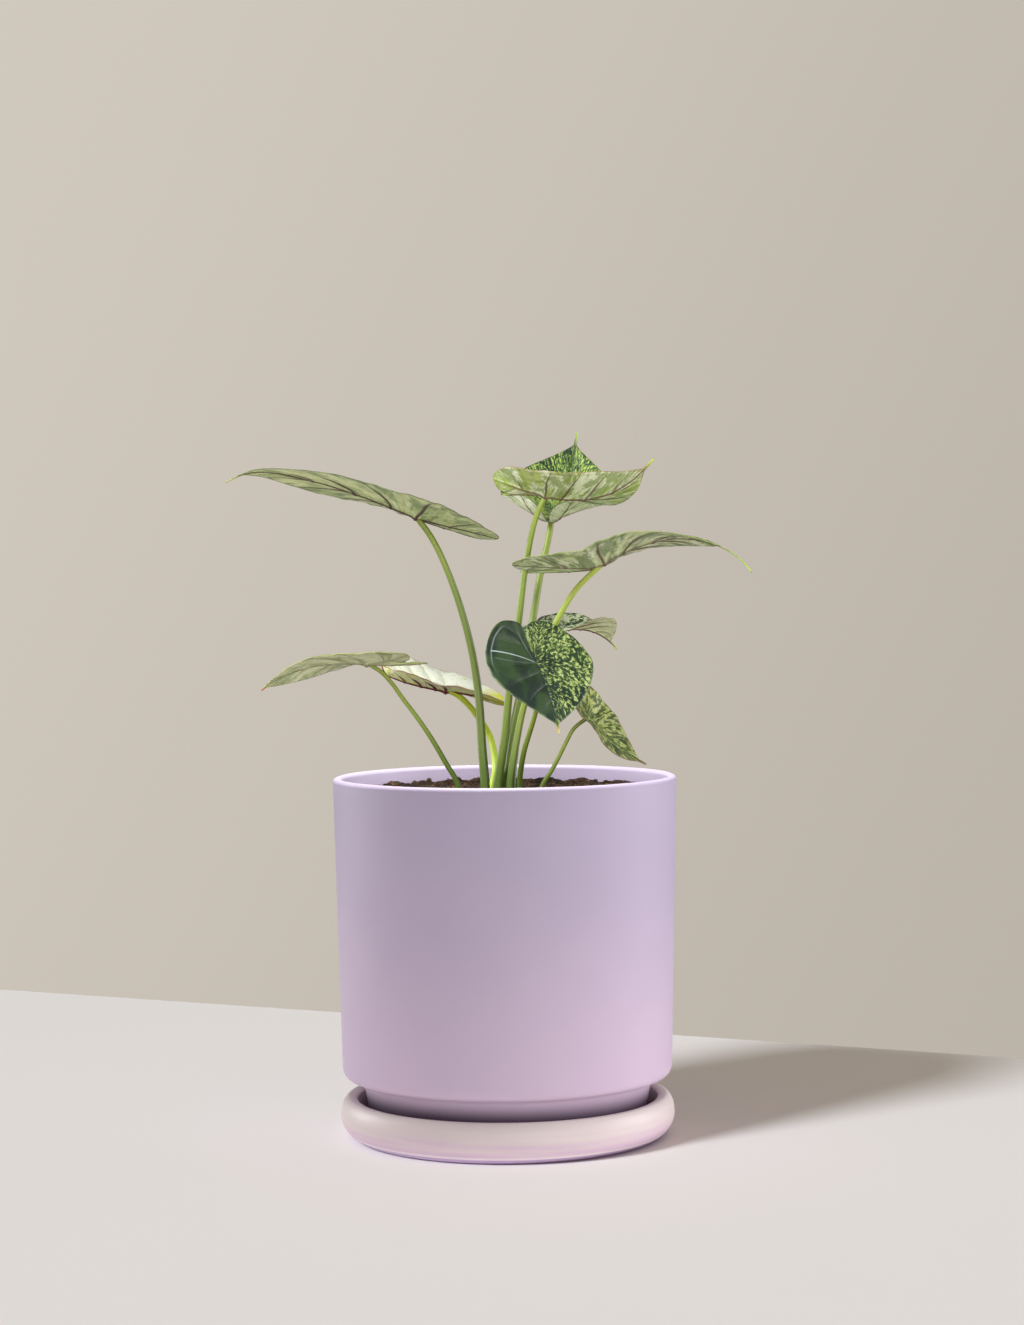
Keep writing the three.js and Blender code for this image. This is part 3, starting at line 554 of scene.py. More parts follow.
def placeOnBlade(leaf, x, y):
    # from the flat blade to its shape in space: folded at the midrib, curled and waved at the margins
    left = y >= 0

    def at(table):
        return np.stack([np.interp(x, leaf.stations, table[:, k]) for k in range(3)], -1)

    def sided(key):
        return np.where(left, *leaf[key])

    share = np.abs(y) / leaf.half
    fold = sided("fold") + leaf.foldTip * smooth(x / leaf.front)
    fold = fold + sided("foldLobe") * smooth(-x / leaf.lobe)
    fold = np.radians(fold) * np.minimum(1, frontWidth(leaf, x) / bladeSize.flatTipWidth)
    curl = np.radians(sided("curl").astype(float))
    curl = np.where(np.abs(curl) < 1e-3, 1e-3, curl)
    out = leaf.half * (np.sin(fold + curl * share) - np.sin(fold)) / curl
    rise = leaf.half * (np.cos(fold) - np.cos(fold + curl * share)) / curl
    angle = 2 * pi * leaf.waves * x / leaf.front + np.radians(sided("phase"))
    rise = rise + sided("wave") * share**2 * np.sin(angle)
    ripple = np.sin(x * bladeSize.ripplePaces[0] + np.where(left, *bladeSize.rippleStarts) + leaf.turn[0])
    ripple = ripple + bladeSize.secondRipple * np.sin(x * bladeSize.ripplePaces[1] + leaf.turn[1])
    rise = rise + bladeSize.edgeRipple * share**3 * ripple
    out = out * np.where(left, 1, -1)
    return at(leaf.spine) + out[..., None] * at(leaf.sides) + rise[..., None] * at(leaf.ups)


def frontWidth(leaf, x):
    widest = leaf.wide * leaf.front
    u = np.clip((x - widest) / (leaf.front - leaf.drip - widest), 0, 1)
    body = leaf.half * np.maximum(1 - u ** leaf.fullness, 0) ** leaf.shoulder
    toTip = np.clip((leaf.front - x) / leaf.drip, 0, 1)
    return np.maximum(body, bladeSize.dripHalfWidth * toTip ** bladeSize.dripPower)


def marginPoint(leaf, v):
    # where a row ends at the outer margin, v from -1 at the lobe's end to 1 at the tip
    widest = leaf.wide * leaf.front
    lobeY = leaf.lobeIn * leaf.half
    if v >= 0:
        body = leaf.front - leaf.drip
        bodyShare = min(v * leaf.front / body, 1)
        x = widest + (body - widest) * (1 - (1 - bodyShare) ** bladeSize.forwardLean)
        x = max(x, v * leaf.front) if bodyShare == 1 else x
        return x, float(frontWidth(leaf, x))
    angle = (-v) ** bladeSize.rearLean * pi / 2
    return widest - (widest + leaf.lobe) * sin(angle), lobeY + (leaf.half - lobeY) * cos(angle)


def innerMarginPoint(leaf, k):
    # the sinus, k from 0 at its bottom to 1 at the end of the lobe
    angle = (1 - k) * pi / 2
    x = -leaf.lobe + (leaf.lobe - leaf.sinus) * (1 - cos(angle))
    opening = bladeSize.sinusOpening * sqrt(k)
    closing = (1 - bladeSize.sinusOpening) * (1 - sin(angle)) ** leaf.sinusPower
    return x, leaf.lobeIn * leaf.half * (opening + closing)


def spinePoint(leaf, v):
    # where a row leaves its rib; the rows gather towards the stem joint
    if v >= 0:
        return leaf.front * v * (1 - bladeSize.veinGather * (1 - v) ** 2), 0
    return leaf.lobe * v, -v * leaf.lobeIn * leaf.half


def veinRows(leaf):
    # rows of the blade's mesh, closer together beside the veins
    rows = {*np.linspace(0, 1, bladeSize.rowsFront + 1).round(5)}
    rows |= {*(-np.linspace(0, 1, bladeSize.rowsRear + 1)).round(5)}
    for v in sideVeins:
        length = leaf.front if v >= 0 else leaf.lobe
        rows = {r for r in rows if abs(r - v) * length > bladeSize.veinClear or r in (0, 1, -1)}
        rows |= {round(v + sign * step / length, 5) for step in bladeSize.nearVein for sign in (1, -1)}
    return sorted(r for r in rows if -1 <= r <= 1)


def crossLength(a, b):
    return np.abs(a[..., 0] * b[..., 1] - a[..., 1] * b[..., 0])


def patchOf(leaf, rows, side, inner):
    # one half of the blade outside its ribs, or the inner flap between a rear rib and the sinus
    b = bladeSize
    share = np.linspace(0, 1, (b.innerColumns if inner else b.columns) + 1) ** b.columnPower
    start = np.array([spinePoint(leaf, v) for v in rows])[:, None]
    end = np.array([innerMarginPoint(leaf, -v) if inner else marginPoint(leaf, v) for v in rows])[:, None]
    flat = start + (end - start) * share[None, :, None]
    v = np.array(rows)[:, None]
    length = np.linalg.norm(end - start, axis=-1)
    if not inner:
        fade = np.minimum(1, b.bowFade * (1 - v)) * np.maximum(v, 0)
        flat[..., 0] -= b.veinBow * leaf.front * share * (1 - share) * fade
    across = np.gradient(flat, np.array(rows), axis=0)
    along = np.gradient(flat, share, axis=1)
    spacing = crossLength(across, along) / np.maximum(np.linalg.norm(along, axis=-1), 1e-6)
    known, darkness = np.array(list(sideVeins)), np.array(list(sideVeins.values()))
    nearest = np.abs(v - known[None, :]).argmin(1)
    phase = known[nearest][:, None] * b.wanderSeed + side
    wander = b.veinWander * np.sin(share[None] * b.wanderPace + phase) * share[None]
    veinDistance = np.abs((v[:, 0] - known[nearest])[:, None] * spacing + wander)
    if inner:
        veinDistance = veinDistance + b.flapVeinGap
    # how far between two veins a row lies, from 0 on a vein to 1 midway
    ordered = np.sort(np.append(known, b.puffEnds))
    place = np.clip(np.searchsorted(ordered, v[:, 0], side="right") - 1, 0, len(ordered) - 2)
    between = (v[:, 0] - ordered[place]) / (ordered[place + 1] - ordered[place])
    rise = np.sin(np.clip(between, 0, 1) * pi)[:, None] ** b.puffPower
    ribLine = np.array([-leaf.lobe, leaf.lobeIn * leaf.half])
    ribLine = ribLine / np.linalg.norm(ribLine)
    behind = crossLength(flat, ribLine)
    beside = np.minimum(flat[..., 1], np.where(flat[..., 0] < 0, behind, 1e9))
    ribDistance = behind if inner else np.where(v < 0, behind, beside)
    marginLine = np.gradient(flat[:, -1], np.array(rows), axis=0)
    marginLine /= np.maximum(np.linalg.norm(marginLine, axis=-1), 1e-6)[:, None]
    edgeDistance = crossLength(flat[:, -1:] - flat, marginLine[:, None])
    envelope = (4 * share * (1 - share))[None] ** b.puffSides * np.minimum(length / b.puffLength, 1)
    run = share[None] * length
    whole = np.ones_like(run)
    reach = np.where(v >= 0, leaf.front, leaf.lobe) * v * whole
    return {
        "flat": flat * (1, side), "veinMm": veinDistance, "ribMm": np.abs(ribDistance),
        "edgeMm": edgeDistance, "row": v * whole, "veinDark": darkness[nearest][:, None] * whole,
        "puff": (0 if inner else 1) * rise * envelope,
        "veinSpace": np.stack([reach, run if inner else side * run, 0 * whole], -1),
    }


def bladeMesh(leaf):
    # two skins over the joined patches, with the ribs, veins and swellings, and a band around
    b = bladeSize
    bendSpine(leaf)
    rows = veinRows(leaf)
    rearRows = [v for v in rows if v <= 0]
    patches = [(patchOf(leaf, rows, side, False), side < 0) for side in (1, -1)]
    patches += [(patchOf(leaf, rearRows, side, True), side > 0) for side in (1, -1)]
    known, order, faces = {}, [], []
    for number, (patch, flip) in enumerate(patches):
        flat = patch["flat"]
        index = np.empty(flat.shape[:2], int)
        for i, j in np.ndindex(*index.shape):
            key = (round(flat[i, j, 0], 3) + 0, round(flat[i, j, 1], 3) + 0)
            if key not in known:
                known[key] = len(order)
                order.append((number, i, j))
            index[i, j] = known[key]
        for i in range(index.shape[0] - 1):
            for j in range(index.shape[1] - 1):
                quad = [index[i, j], index[i + 1, j], index[i + 1, j + 1], index[i, j + 1]]
                quad = [int(q) for n, q in enumerate(quad) if q != quad[n - 1]]
                if len(quad) >= 3 and len(set(quad)) == len(quad):
                    faces.append(quad[::-1] if flip else quad)
    values = {key: np.array([patches[n][0][key][i, j] for n, i, j in order]) for key in patches[0][0]}
    flat = values["flat"]
    middle = placeOnBlade(leaf, flat[:, 0], flat[:, 1])
    triangles = np.array([t for f in faces for t in ([f[0], f[1], f[2]], [f[0], f[2], f[-1]])])
    edgeA = middle[triangles[:, 1]] - middle[triangles[:, 0]]
    edgeB = middle[triangles[:, 2]] - middle[triangles[:, 0]]
    normals = np.zeros_like(middle)
    for k in range(3):
        np.add.at(normals, triangles[:, k], np.cross(edgeA, edgeB))
    normals /= np.maximum(np.linalg.norm(normals, axis=1), 1e-9)[:, None]
    thinning = 1 - b.ribThinning * np.abs(values["row"])
    ribWidth = b.ribHalfWidth * (b.ribNarrowest + (1 - b.ribNarrowest) * thinning)
    rib = np.exp(-((values["ribMm"] / ribWidth) ** 2)) * thinning
    vein = np.exp(-((values["veinMm"] / b.veinHalfWidth) ** 2)) * values["veinDark"]
    vein *= np.clip(values["edgeMm"] / b.veinFade, 0, 1)
    knob = np.exp(-(flat**2).sum(1) / b.knobRadius ** 2)
    inside = smooth(values["edgeMm"] / b.marginBand)
    half = (b.marginThickness + (b.thickness - b.marginThickness) * inside) / 2
    puffed = values["puff"] * b.puff
    over = half + puffed - b.ribGroove * rib - b.veinGroove * vein
    under = puffed - half - b.ribHeight * rib - b.veinHeight * vein - b.knobHeight * knob
    count = len(middle)
    points = np.concatenate([middle + normals * over[:, None], middle + normals * under[:, None]])
    edges = {edge: True for face in faces for edge in zip(face, face[1:] + face[:1])}
    rim = [(a, c) for a, c in edges if (c, a) not in edges]
    skin = [[i + count for i in face[::-1]] for face in faces]
    band = [[c, a, a + count, c + count] for a, c in rim]
    carried = ("veinMm", "ribMm", "edgeMm", "row", "veinDark", "veinSpace")
    attributes = {key: np.concatenate([values[key]] * 2) for key in carried}
    attributes["flat"] = np.concatenate([np.c_[flat, np.zeros(count)]] * 2)
    attributes["underside"] = np.repeat([0, 1], count)
    return points, faces + skin + band, attributes


def bladeMaterial(name, look):
    n = newMaterial(name)
    inputs = {"Rib Width": look.ribWidth, "Vein Width": look.veinWidth, "Net Size": look.netSize}
    lines = n.group(veinLines, inputs)
    flat, underside = n.carried("flat", "Vector"), n.carried("underside")
    row, edge = n.carried("row"), n.carried("edgeMm")
    sideways = n.axes(flat)[1]
    left = n.ramp(sideways, -0.4, 0.4)

    def mottle(amount, seed, length, thickness):
        inputs = {"Amount": amount, "Seed": look.seed + seed, "Length": length, "Thickness": thickness}
        return n.group(mottling, inputs)

    amount = n.add("MapRange", {"Value": left, "To Max": look.flecks[0], "To Min": look.flecks[1]})
    flecks = mottle(amount[0], 0, *look.fleckSize)
    streaks = mottle(look.streaks, 3, *look.streakSize)
    patches = mottle(look.patches, 7, look.streakSize[0], look.streakSize[1] * 1.3)
    upper = n.coat(
        look, colour(look.dark), ("deep", n.ramp(flecks["Clouds"], 0.4, 0.6)), ("mid", flecks["Halo"], 0.75),
        ("fleck", flecks["Flecks"]), ("core", flecks["Cores"], 0.8),
        ("upperVein", lines["Vein"], look.upperVeins), ("upperRib", lines["Rib"], look.upperRibs),
    )
    for strength, vein in look.paintedVeins:
        upper = n.coat(look, upper, ("silver", n.group(paintedVein, vein)["Vein"], strength))
    if look.paintedVeins:
        # the silvery vein that runs on inside the margin of the dark half
        beside = n.ramp(n.apart(edge, 3.4), 0.65, 0.2)
        around = n.ramp(n.apart(row, -0.42), 0.55, 0.15)
        half = n.times(n.maths("SUBTRACT", 1, left), n.ramp(sideways, -14, -19))
        upper = n.coat(look, upper, ("silver", n.times(beside, around, half), 0.28))
    under = n.coat(
        look, colour(look.pale), ("shade", n.ramp(streaks["Clouds"], 0.4, 0.6)),
        ("pale", streaks["Halo"], 0.5), ("streak", streaks["Flecks"], 0.8),
        ("patch", patches["Halo"], 0.3), ("patch", patches["Flecks"], 0.6),
        ("patch", lines["Net"], 0.2), ("patch", lines["Halo"], look.halo),
        ("vein", lines["Vein"], look.veins), ("vein", lines["Rib"], look.ribs),
    )
    # the margin frays a little, and the tip and the ends of the lobes have colours of their own
    fray = n.ramp(n.noise(flat, 0.16, 3)[0], 0.3, 0.7, -0.45, 0.45)
    rimmed = n.ramp(n.maths("ADD", edge, fray), look.marginWidth + 0.3, look.marginWidth - 0.2)
    face = n.coat(
        look, n.mix(underside, upper, under), ("margin", rimmed, look.margins),
        ("tip", n.ramp(row, look.tipStart, 1), 0.9), ("lobeEnd", n.ramp(row, -0.45, -0.95), look.lobeEnds),
    )
    gloss = n.add("MapRange", {"Value": underside, "To Min": look.upperGloss, "To Max": 0.55})
    return n.finish(face, gloss[0], n.noise(flat, 0.35, 1)[0], 0.35, 0.0006)


plainLook = Values(
    ribWidth=1.3, veinWidth=0.7, netSize=4.5, seed=1, flecks=(0.5, 0.5), fleckSize=(2.2, 0.9), dark="1f3326",
    deep="2f4c2c", mid="5c7a3a", fleck="a3b557", core="c3cf7c", upperVein="6f8a5a", upperVeins=0.15,
    upperRib="33492f", upperRibs=0.6, streaks=0.4, patches=0.35, streakSize=(7, 1.5), pale="b5c295",
    shade="93a574", streak="d3dbb4", patch="6f8555", halo=0.35, vein="5a3a3a", veins=0.85, ribs=0.85,
    margin="7c6a40", margins=0.6, marginWidth=0.5, tipStart=0.93, tip="a3ad5a", upperGloss=0.5,
    lobeEnd="a8c23c", lobeEnds=0, paintedVeins=[],
)


# what each leaf has unless its own entry says otherwise is in ordinary and plainLook
leaves = {}
leaves["upper_left"] = dict(
    stemPaint="deep", attach=(-50.5, -14, 368), front=117.5, lobe=47.5, half=37, wide=0.02, fullness=1.95,
    shoulder=1.1, lobeIn=0.46, foldTip=-18, foldLobe=(7, 0), curl=(-8, -7), droopPower=1.7, hook=29,
    lobeDroop=-5, sway=-11, twist=9, twistLobe=-9, wave=(-1.5, 0.5), phase=(-40, 10), turn=(197, 22, -13),
    fold=(27, -5), droop=24, stemRadii=(3, 1.7),
    stem=[
        (-11.5, -7, 207.5), (-13, -8, 230), (-15, -9.5, 264), (-19.5, -10.5, 293), (-27.5, -12, 322.5),
        (-37.5, -13, 348), (-44, -13.5, 359.5),
    ],
    look=dict(
        veinWidth=1.3, streaks=0.12, patches=0.28, streakSize=(11, 2.2), pale="d6dda4",
        shade="b5c184", streak="e0e5b8", patch="6c824c", halo=0.3, vein="45252a", veins=0.95, ribs=0.95,
        margin="4f4a34", margins=0.7, tipStart=0.84, tip="b3b75c",
    ),
)
leaves["top_front"] = dict(
    slot="leaf_lime", attach=(25.5, -24, 379.5), front=73, lobe=28.5, half=27.5, drip=7, wide=0.09,
    fullness=2.7, shoulder=1.3, lobeIn=0.49, foldTip=-9, foldLobe=(4, 24), curl=(-3, 8), droopPower=1.4,
    hook=15, rearBend=12, lobeDroop=4, sway=-5, twist=-29, twistLobe=-2, wave=(0.5, -1), phase=(20, -90),
    turn=(-15, -12, 0), fold=(8, 24), droop=-75, stemRadii=(2.9, 1.6),
    stem=[
        (-4, -5, 207), (0.5, -8.5, 239), (3, -11, 261.5), (9.5, -16, 308), (13.5, -19.5, 337.5),
        (19.5, -22.5, 365.5),
    ],
    look=dict(
        veinWidth=0.9, seed=5, flecks=(0.6, 0.6), streaks=0.62, patches=0.4, streakSize=(6, 1.9),
        pale="c3cf7c", shade="a3b653", streak="f4f5dc", patch="7f9446", halo=0.2, vein="5e3a34",
        margin="8a5a3c", margins=0.55, marginWidth=0.6, tipStart=0.86, tip="c2d43e", lobeEnds=0.55,
    ),
)
leaves["top_back"] = dict(
    attach=(30, 36, 366.5), front=86, lobe=34.5, half=35.5, wide=0.06, fullness=3, shoulder=1.25,
    lobeIn=0.48, foldTip=-5, curl=(8, 0), droopPower=1.4, hook=-6, lobeDroop=-69, sway=-2, twist=3,
    wave=(0, 0.5), phase=(0, -20), turn=(78, 19, 7), fold=(20, 24), droop=-60, stemRadii=(3, 1.9),
    stem=[
        (0, 1, 206.5), (4.5, 8, 238), (9, 12.5, 258.5), (18, 23, 307.5), (23.5, 30, 337.5), (27, 33, 351.5),
    ],
    look=dict(
        seed=9, flecks=(0.46, 0.46), fleckSize=(1.4, 0.65), fleck="9bb04c", core="cbd873", streaks=0.5,
        patches=0.2, pale="dfe3bd", shade="c3cd98", streak="f0f0dc", patch="8a9e62", halo=0.1, vein="6b3236",
        margin="414b2c", margins=0.45, tipStart=0.88, tip="b4cc4a",
    ),
)
leaves["middle_right"] = dict(
    stemPaint="pale", attach=(59, -28, 340), front=96, lobe=52, half=36, drip=24, fullness=1.9,
    shoulder=0.95, lobeIn=0.47, foldTip=-22, foldLobe=(4, 2), curl=(6, 3), rearBend=-24, lobeDroop=-3,
    turn=(-8, 29, 0), fold=(-3, 15), droop=84, stemRadii=(2.4, 1.6),
    stem=[
        (3, -5, 207), (8, -5.5, 238.5), (12.5, -6.5, 258), (23.5, -10.5, 289), (33, -15.5, 308.5),
        (43, -21, 324.5),
    ],
    look=dict(
        veinWidth=1.15, seed=14, streaks=0.48, patches=0.46, streakSize=(8, 1.9), pale="d3daa6",
        shade="9dac6a", streak="e8ecca", patch="5f7641", vein="55302f", ribs=0.7, margin="8f9a4e",
        tipStart=0.72, tip="b2cc3e",
    ),
)
leaves["small_back"] = dict(
    attach=(34.5, 46, 299.5), front=52.5, lobe=23.5, half=29, wide=0.08, fullness=2.15, shoulder=0.95,
    lobeIn=0.52, foldTip=29, foldLobe=(2, -1), curl=(-20, 3), droopPower=1.4, hook=-3, lobeDroop=18, sway=10,
    twist=20, twistLobe=4, wave=(0.5, 1), phase=(-5, -20), turn=(41, 7, -8), fold=(23, 3), droop=52,
    stemRadii=(1.6, 1.2),
    stem=[
        (5, 6, 206), (7, 15, 226.5), (10.5, 24.5, 249), (16.5, 31.5, 265), (25, 39, 282.5),
    ],
    look=dict(
        veinWidth=0.9, seed=21, flecks=(0.55, 0.55), dark="1c2b24", deep="26402c", fleck="c3ca94",
        core="dde0bb", patches=0.15, pale="e6eeb8", shade="d3dea0", streak="eef0cc", patch="8fa058",
        halo=0.05, vein="5e2a2e", veins=0.9, ribs=0.95, tipStart=0.84, tip="c4dc3e",
    ),
)
leaves["heart"] = dict(
    slot="leaf_dark", attach=(19.5, -40, 282), front=49, lobe=28.5, half=33.5, drip=6, sinusPower=3.2,
    wide=0.07, fullness=1.75, lobeIn=0.36, foldLobe=(-4, 4), curl=(11, -5), hook=2, lobeDroop=-15, sway=-8,
    twist=3, twistLobe=-6, wave=(0, 0.5), phase=(0, -5), turn=(-58, -51, 2), fold=(5, 3), droop=8,
    stemRadii=(1.9, 1.3),
    stem=[
        (8.5, -3, 207), (11.5, -13.5, 228.5), (14.5, -18.5, 239), (18.5, -25.5, 252.5), (20.5, -32, 266),
    ],
    look=dict(
        seed=27, flecks=(0.4, -0.35), fleckSize=(1.25, 0.75), dark="1c2c21", deep="34492a", mid="2c4428",
        fleck="8d9d55", core="c0c886", upperVein="7d977c", upperVeins=0, upperRib="1a281d", upperRibs=0.5,
        margin="8fa84e", margins=0.3, marginWidth=0.3, tipStart=0.86, tip="e6c979", upperGloss=0.42,
        silver="c3d0cb",
        paintedVeins=[
            (0.75, {"Direction": (-0.42, -0.907, 0), "Bend": -0.004, "Length": 29.5, "Width": 0.62}),
            (0.2, {"Direction": (-0.93, -0.37, 0), "Bend": 0.004, "Length": 22, "Width": 0.45}),
            (0.15, {"Direction": (0.02, -1, 0), "Bend": 0.007, "Length": 27, "Width": 0.4}),
        ],
    ),
)
leaves["lower_right"] = dict(
    slot="leaf_lime", attach=(50.5, -12, 249), front=44, lobe=26.5, half=17, drip=4, shoulder=1.05,
    lobeIn=0.51, foldTip=-13, foldLobe=(5, 2), curl=(5, 12), droopPower=1.4, hook=-3, lobeDroop=-4, sway=9,
    twist=12, twistLobe=4, wave=(0, 0.5), phase=(0, -10), turn=(-3, -50, 13), fold=(29, 2), droop=-21,
    stemRadii=(1.6, 1.1),
    stem=[
        (22, -6, 207), (28, -7.5, 217.5), (32.5, -8.5, 226), (37, -10, 235), (41, -11, 242),
        (45.5, -11.5, 246),
    ],
    look=dict(
        seed=33, flecks=(0.5, 0.36), dark="3a4826", deep="4e5e2d", mid="72813c", fleck="a3ad5c",
        core="c3cb80", pale="aab88c", shade="8a9970", margin="8f7a3c", tipStart=0.92, tip="a06a34",
    ),
)
leaves["lower_left"] = dict(
    attach=(-80, -24, 282.5), front=73, lobe=32.5, half=27.5, drip=2, wide=0.06, foldTip=-22,
    foldLobe=(2, 0), curl=(-10, 11), hook=-1, lobeDroop=-9, twist=3, twistLobe=3, wave=(-0.5, 0),
    phase=(-5, 0), turn=(157, 3, 3), fold=(15, -1), droop=41, stemRadii=(1.8, 1.2),
    stem=[
        (-27, -8, 207.5), (-34.5, -11, 222.5), (-43.5, -14.5, 238.5), (-51, -17, 250), (-59, -19.5, 261),
        (-65.5, -21.5, 270.5), (-72, -23, 277.5),
    ],
    look=dict(
        seed=38, streaks=0.15, patches=0.22, streakSize=(13, 3.6), pale="dde2b4", shade="c2ca90",
        streak="e8eac8", patch="84955f", veins=0.45, ribs=0.5, margin="a9a455", tipStart=0.9, tip="c0562c",
    ),
)
leaves["pale_folded"] = dict(
    slot="leaf_cream", stemPaint="lime", attach=(-35, 26, 264), front=46, lobe=35.5, half=27, drip=1.5,
    wide=0.11, fullness=2.6, shoulder=0.85, lobeIn=0.51, foldTip=17, foldLobe=(4, -3), curl=(-16, -20),
    droopPower=2, hook=-52, lobeDroop=16, sway=7, twist=-9, twistLobe=-1, wave=(-0.5, -0.5), phase=(15, -50),
    turn=(184, 11, -14), fold=(30, 19), droop=-27, stemRadii=(2.3, 1.7),
    stem=[
        (-7.5, 5, 206.5), (-5.5, 9.5, 218), (-6.5, 13, 228.5), (-9, 16.5, 237.5), (-14.5, 19.5, 246.5),
        (-24, 24, 258), (-31, 25.5, 263),
    ],
    look=dict(
        ribWidth=1.9, veinWidth=1.5, seed=44, flecks=(0.9, 0.9), dark="c4cf98", deep="d3dab0", mid="d5dab0",
        fleck="edebcb", core="f6f4e2", upperVein="c5cf9c", upperRib="b5c07c", streaks=0.6, patches=0.05,
        pale="e6ef8e", shade="cfdf6a", streak="f0f3c4", patch="a9b570", halo=0.05, vein="662a20", veins=1,
        ribs=1, margin="96563a", margins=0.85, marginWidth=0.6, tip="a88a4a", lobeEnd="dcd82c",
        lobeEnds=0.95,
    ),
)


# Stems

stemSize = Values(
    depth=30, rings=90, sides=36, curveSteps=24, taper=1.3, ridges=6, ridgeHeight=0.015, endTaper=2.6,
    endShare=0.3, streaksAround=3, streaksAlong=0.05,
)


def stemPath(leaf):
    # a centripetal curve through the stem's points, from under the soil to the blade
    points = [np.array(p, float) for p in leaf.stem]
    foot = points[0].copy()
    foot[2] = soilSize.height - stemSize.depth
    points = [foot, *points, np.array(leaf.attach, float)]
    points = [2 * points[0] - points[1], *points, 2 * points[-1] - points[-2]]
    path = []
    for p0, p1, p2, p3 in zip(points, points[1:], points[2:], points[3:]):
        d0, d1, d2 = (max(dist(a, b) ** 0.5, 1e-4) for a, b in ((p0, p1), (p1, p2), (p2, p3)))
        start = ((p1 - p0) / d0 - (p2 - p0) / (d0 + d1) + (p2 - p1) / d1) * d1
        end = ((p2 - p1) / d1 - (p3 - p1) / (d1 + d2) + (p3 - p2) / d2) * d1
        square, cube = 3 * (p2 - p1) - 2 * start - end, 2 * (p1 - p2) + start + end
        for t in np.linspace(0, 1, stemSize.curveSteps, endpoint=False):
            path.append(p1 + start * t + square * t**2 + cube * t**3)
    path.append(points[-2])
    path = np.array(path)
    reach = np.concatenate([[0], np.cumsum(np.linalg.norm(np.diff(path, axis=0), axis=1))])
    spaced = np.linspace(0, reach[-1], stemSize.rings + 1)
    return np.stack([np.interp(spaced, reach, path[:, k]) for k in range(3)], -1), reach[-1]


def stemMesh(leaf):
    s = stemSize
    path, length = stemPath(leaf)
    angles = np.linspace(0, 2 * pi, s.sides, endpoint=False)
    across = Vector((1, 0, 0))
    base, top = leaf.stemRadii
    points, around, upward = [], [], []
    for i, centre in enumerate(path):
        ahead = Vector(path[min(i + 1, s.rings)] - path[max(i - 1, 0)]).normalized()
        across = (across - ahead * across.dot(ahead)).normalized()
        other = ahead.cross(across)
        share = i / s.rings
        radius = top + (base - top) * (1 - share) ** s.taper
        left = (1 - share) * length
        if left < s.endTaper:
            radius *= s.endShare + (1 - s.endShare) * sqrt(left / s.endTaper)
        for angle in angles:
            ridge = 1 + s.ridgeHeight * cos(s.ridges * angle)
            outward = cos(angle) * np.array(across) + sin(angle) * np.array(other)
            points.append(centre + radius * ridge * outward)
            around.append(angle)
            upward.append(left)
    n = s.sides
    faces = ringFaces(s.rings, n) + [list(range(n))[::-1], [s.rings * n + j for j in range(n)]]
    wide, high = s.streaksAround, s.streaksAlong
    space = np.stack([np.cos(around) * wide, np.sin(around) * wide, np.array(upward) * high], -1)
    return points, faces, {"fromBlade": upward, "stemSpace": space}


stemLooks = {
    "green": Values(top="8c9936", middle="7b8c33", base="5c7126", streak="485c20", joint="6f7030"),
    "lime": Values(top="c2d335", middle="ccdf28", base="bcd03c", streak="95a61c"),
    "pale": Values(top="b3bf52", middle="97a73f"),
    "deep": Values(top="818f31", middle="67752b"),
}


def stemMaterial(name, look):
    n = newMaterial(name)
    # the height is in metres, the distance from the blade in millimetres
    height = n.axes(n.place())[2]
    fromBlade, space = n.carried("fromBlade"), n.carried("stemSpace", "Vector")
    streak = n.ramp(n.noise(space, 1.6, 4, 0.65)[0], 0.5, 0.68)
    shade = n.coat(
        look, colour(look.base), ("middle", n.ramp(height, 0.205, 0.262)), ("top", n.ramp(fromBlade, 70, 0)),
        ("streak", streak, 0.55), ("joint", n.ramp(fromBlade, 4, 0.5), 0.6),
    )
    return n.finish(shade, 0.38, n.noise(space, 0.5, 0)[0], 0.3, 0.0004)


stemPaints = {}
for label, look in stemLooks.items():
    stemPaints[label] = stemMaterial(label + " stem", Values(stemLooks["green"] | look))
for label, leaf in leaves.items():
    leaf = Values(ordinary | leaf)
    points, faces, attributes = bladeMesh(leaf)
    paint = bladeMaterial(label.replace("_", " ") + " blade", Values(plainLook | leaf.look))
    addPiece("bladeOf_" + label, points, faces, paint, "blade_" + label, leaf.slot, attributes)
    points, faces, attributes = stemMesh(leaf)
    paint = stemPaints[leaf.stemPaint]
    addPiece("stemOf_" + label, points, faces, paint, "stem_" + label, "stem", attributes)
print("leaves grown")


# Table, backdrop and light

# the table, the lights and the camera are in metres; the table's back edge runs from left to right
tableSize = Values(
    left=(-2.2, 1.49), right=(1.6, -0.369), front=-2.4, thickness=0.03, paint="ebe6e0",
    cloudTint=(1.02, 1.02, 1.02, 1), cloudScale=3, roughness=0.8, specular=0.2,
)
# the wall's colours from left to right are painted light falling off across it
wallLightAndRoom = Values(
    left="d0c8bd", right="bcb4a9", reach=0.3, slant=0.5, room=(0.97, 0.98, 1, 1), roomStrength=0.295,
)


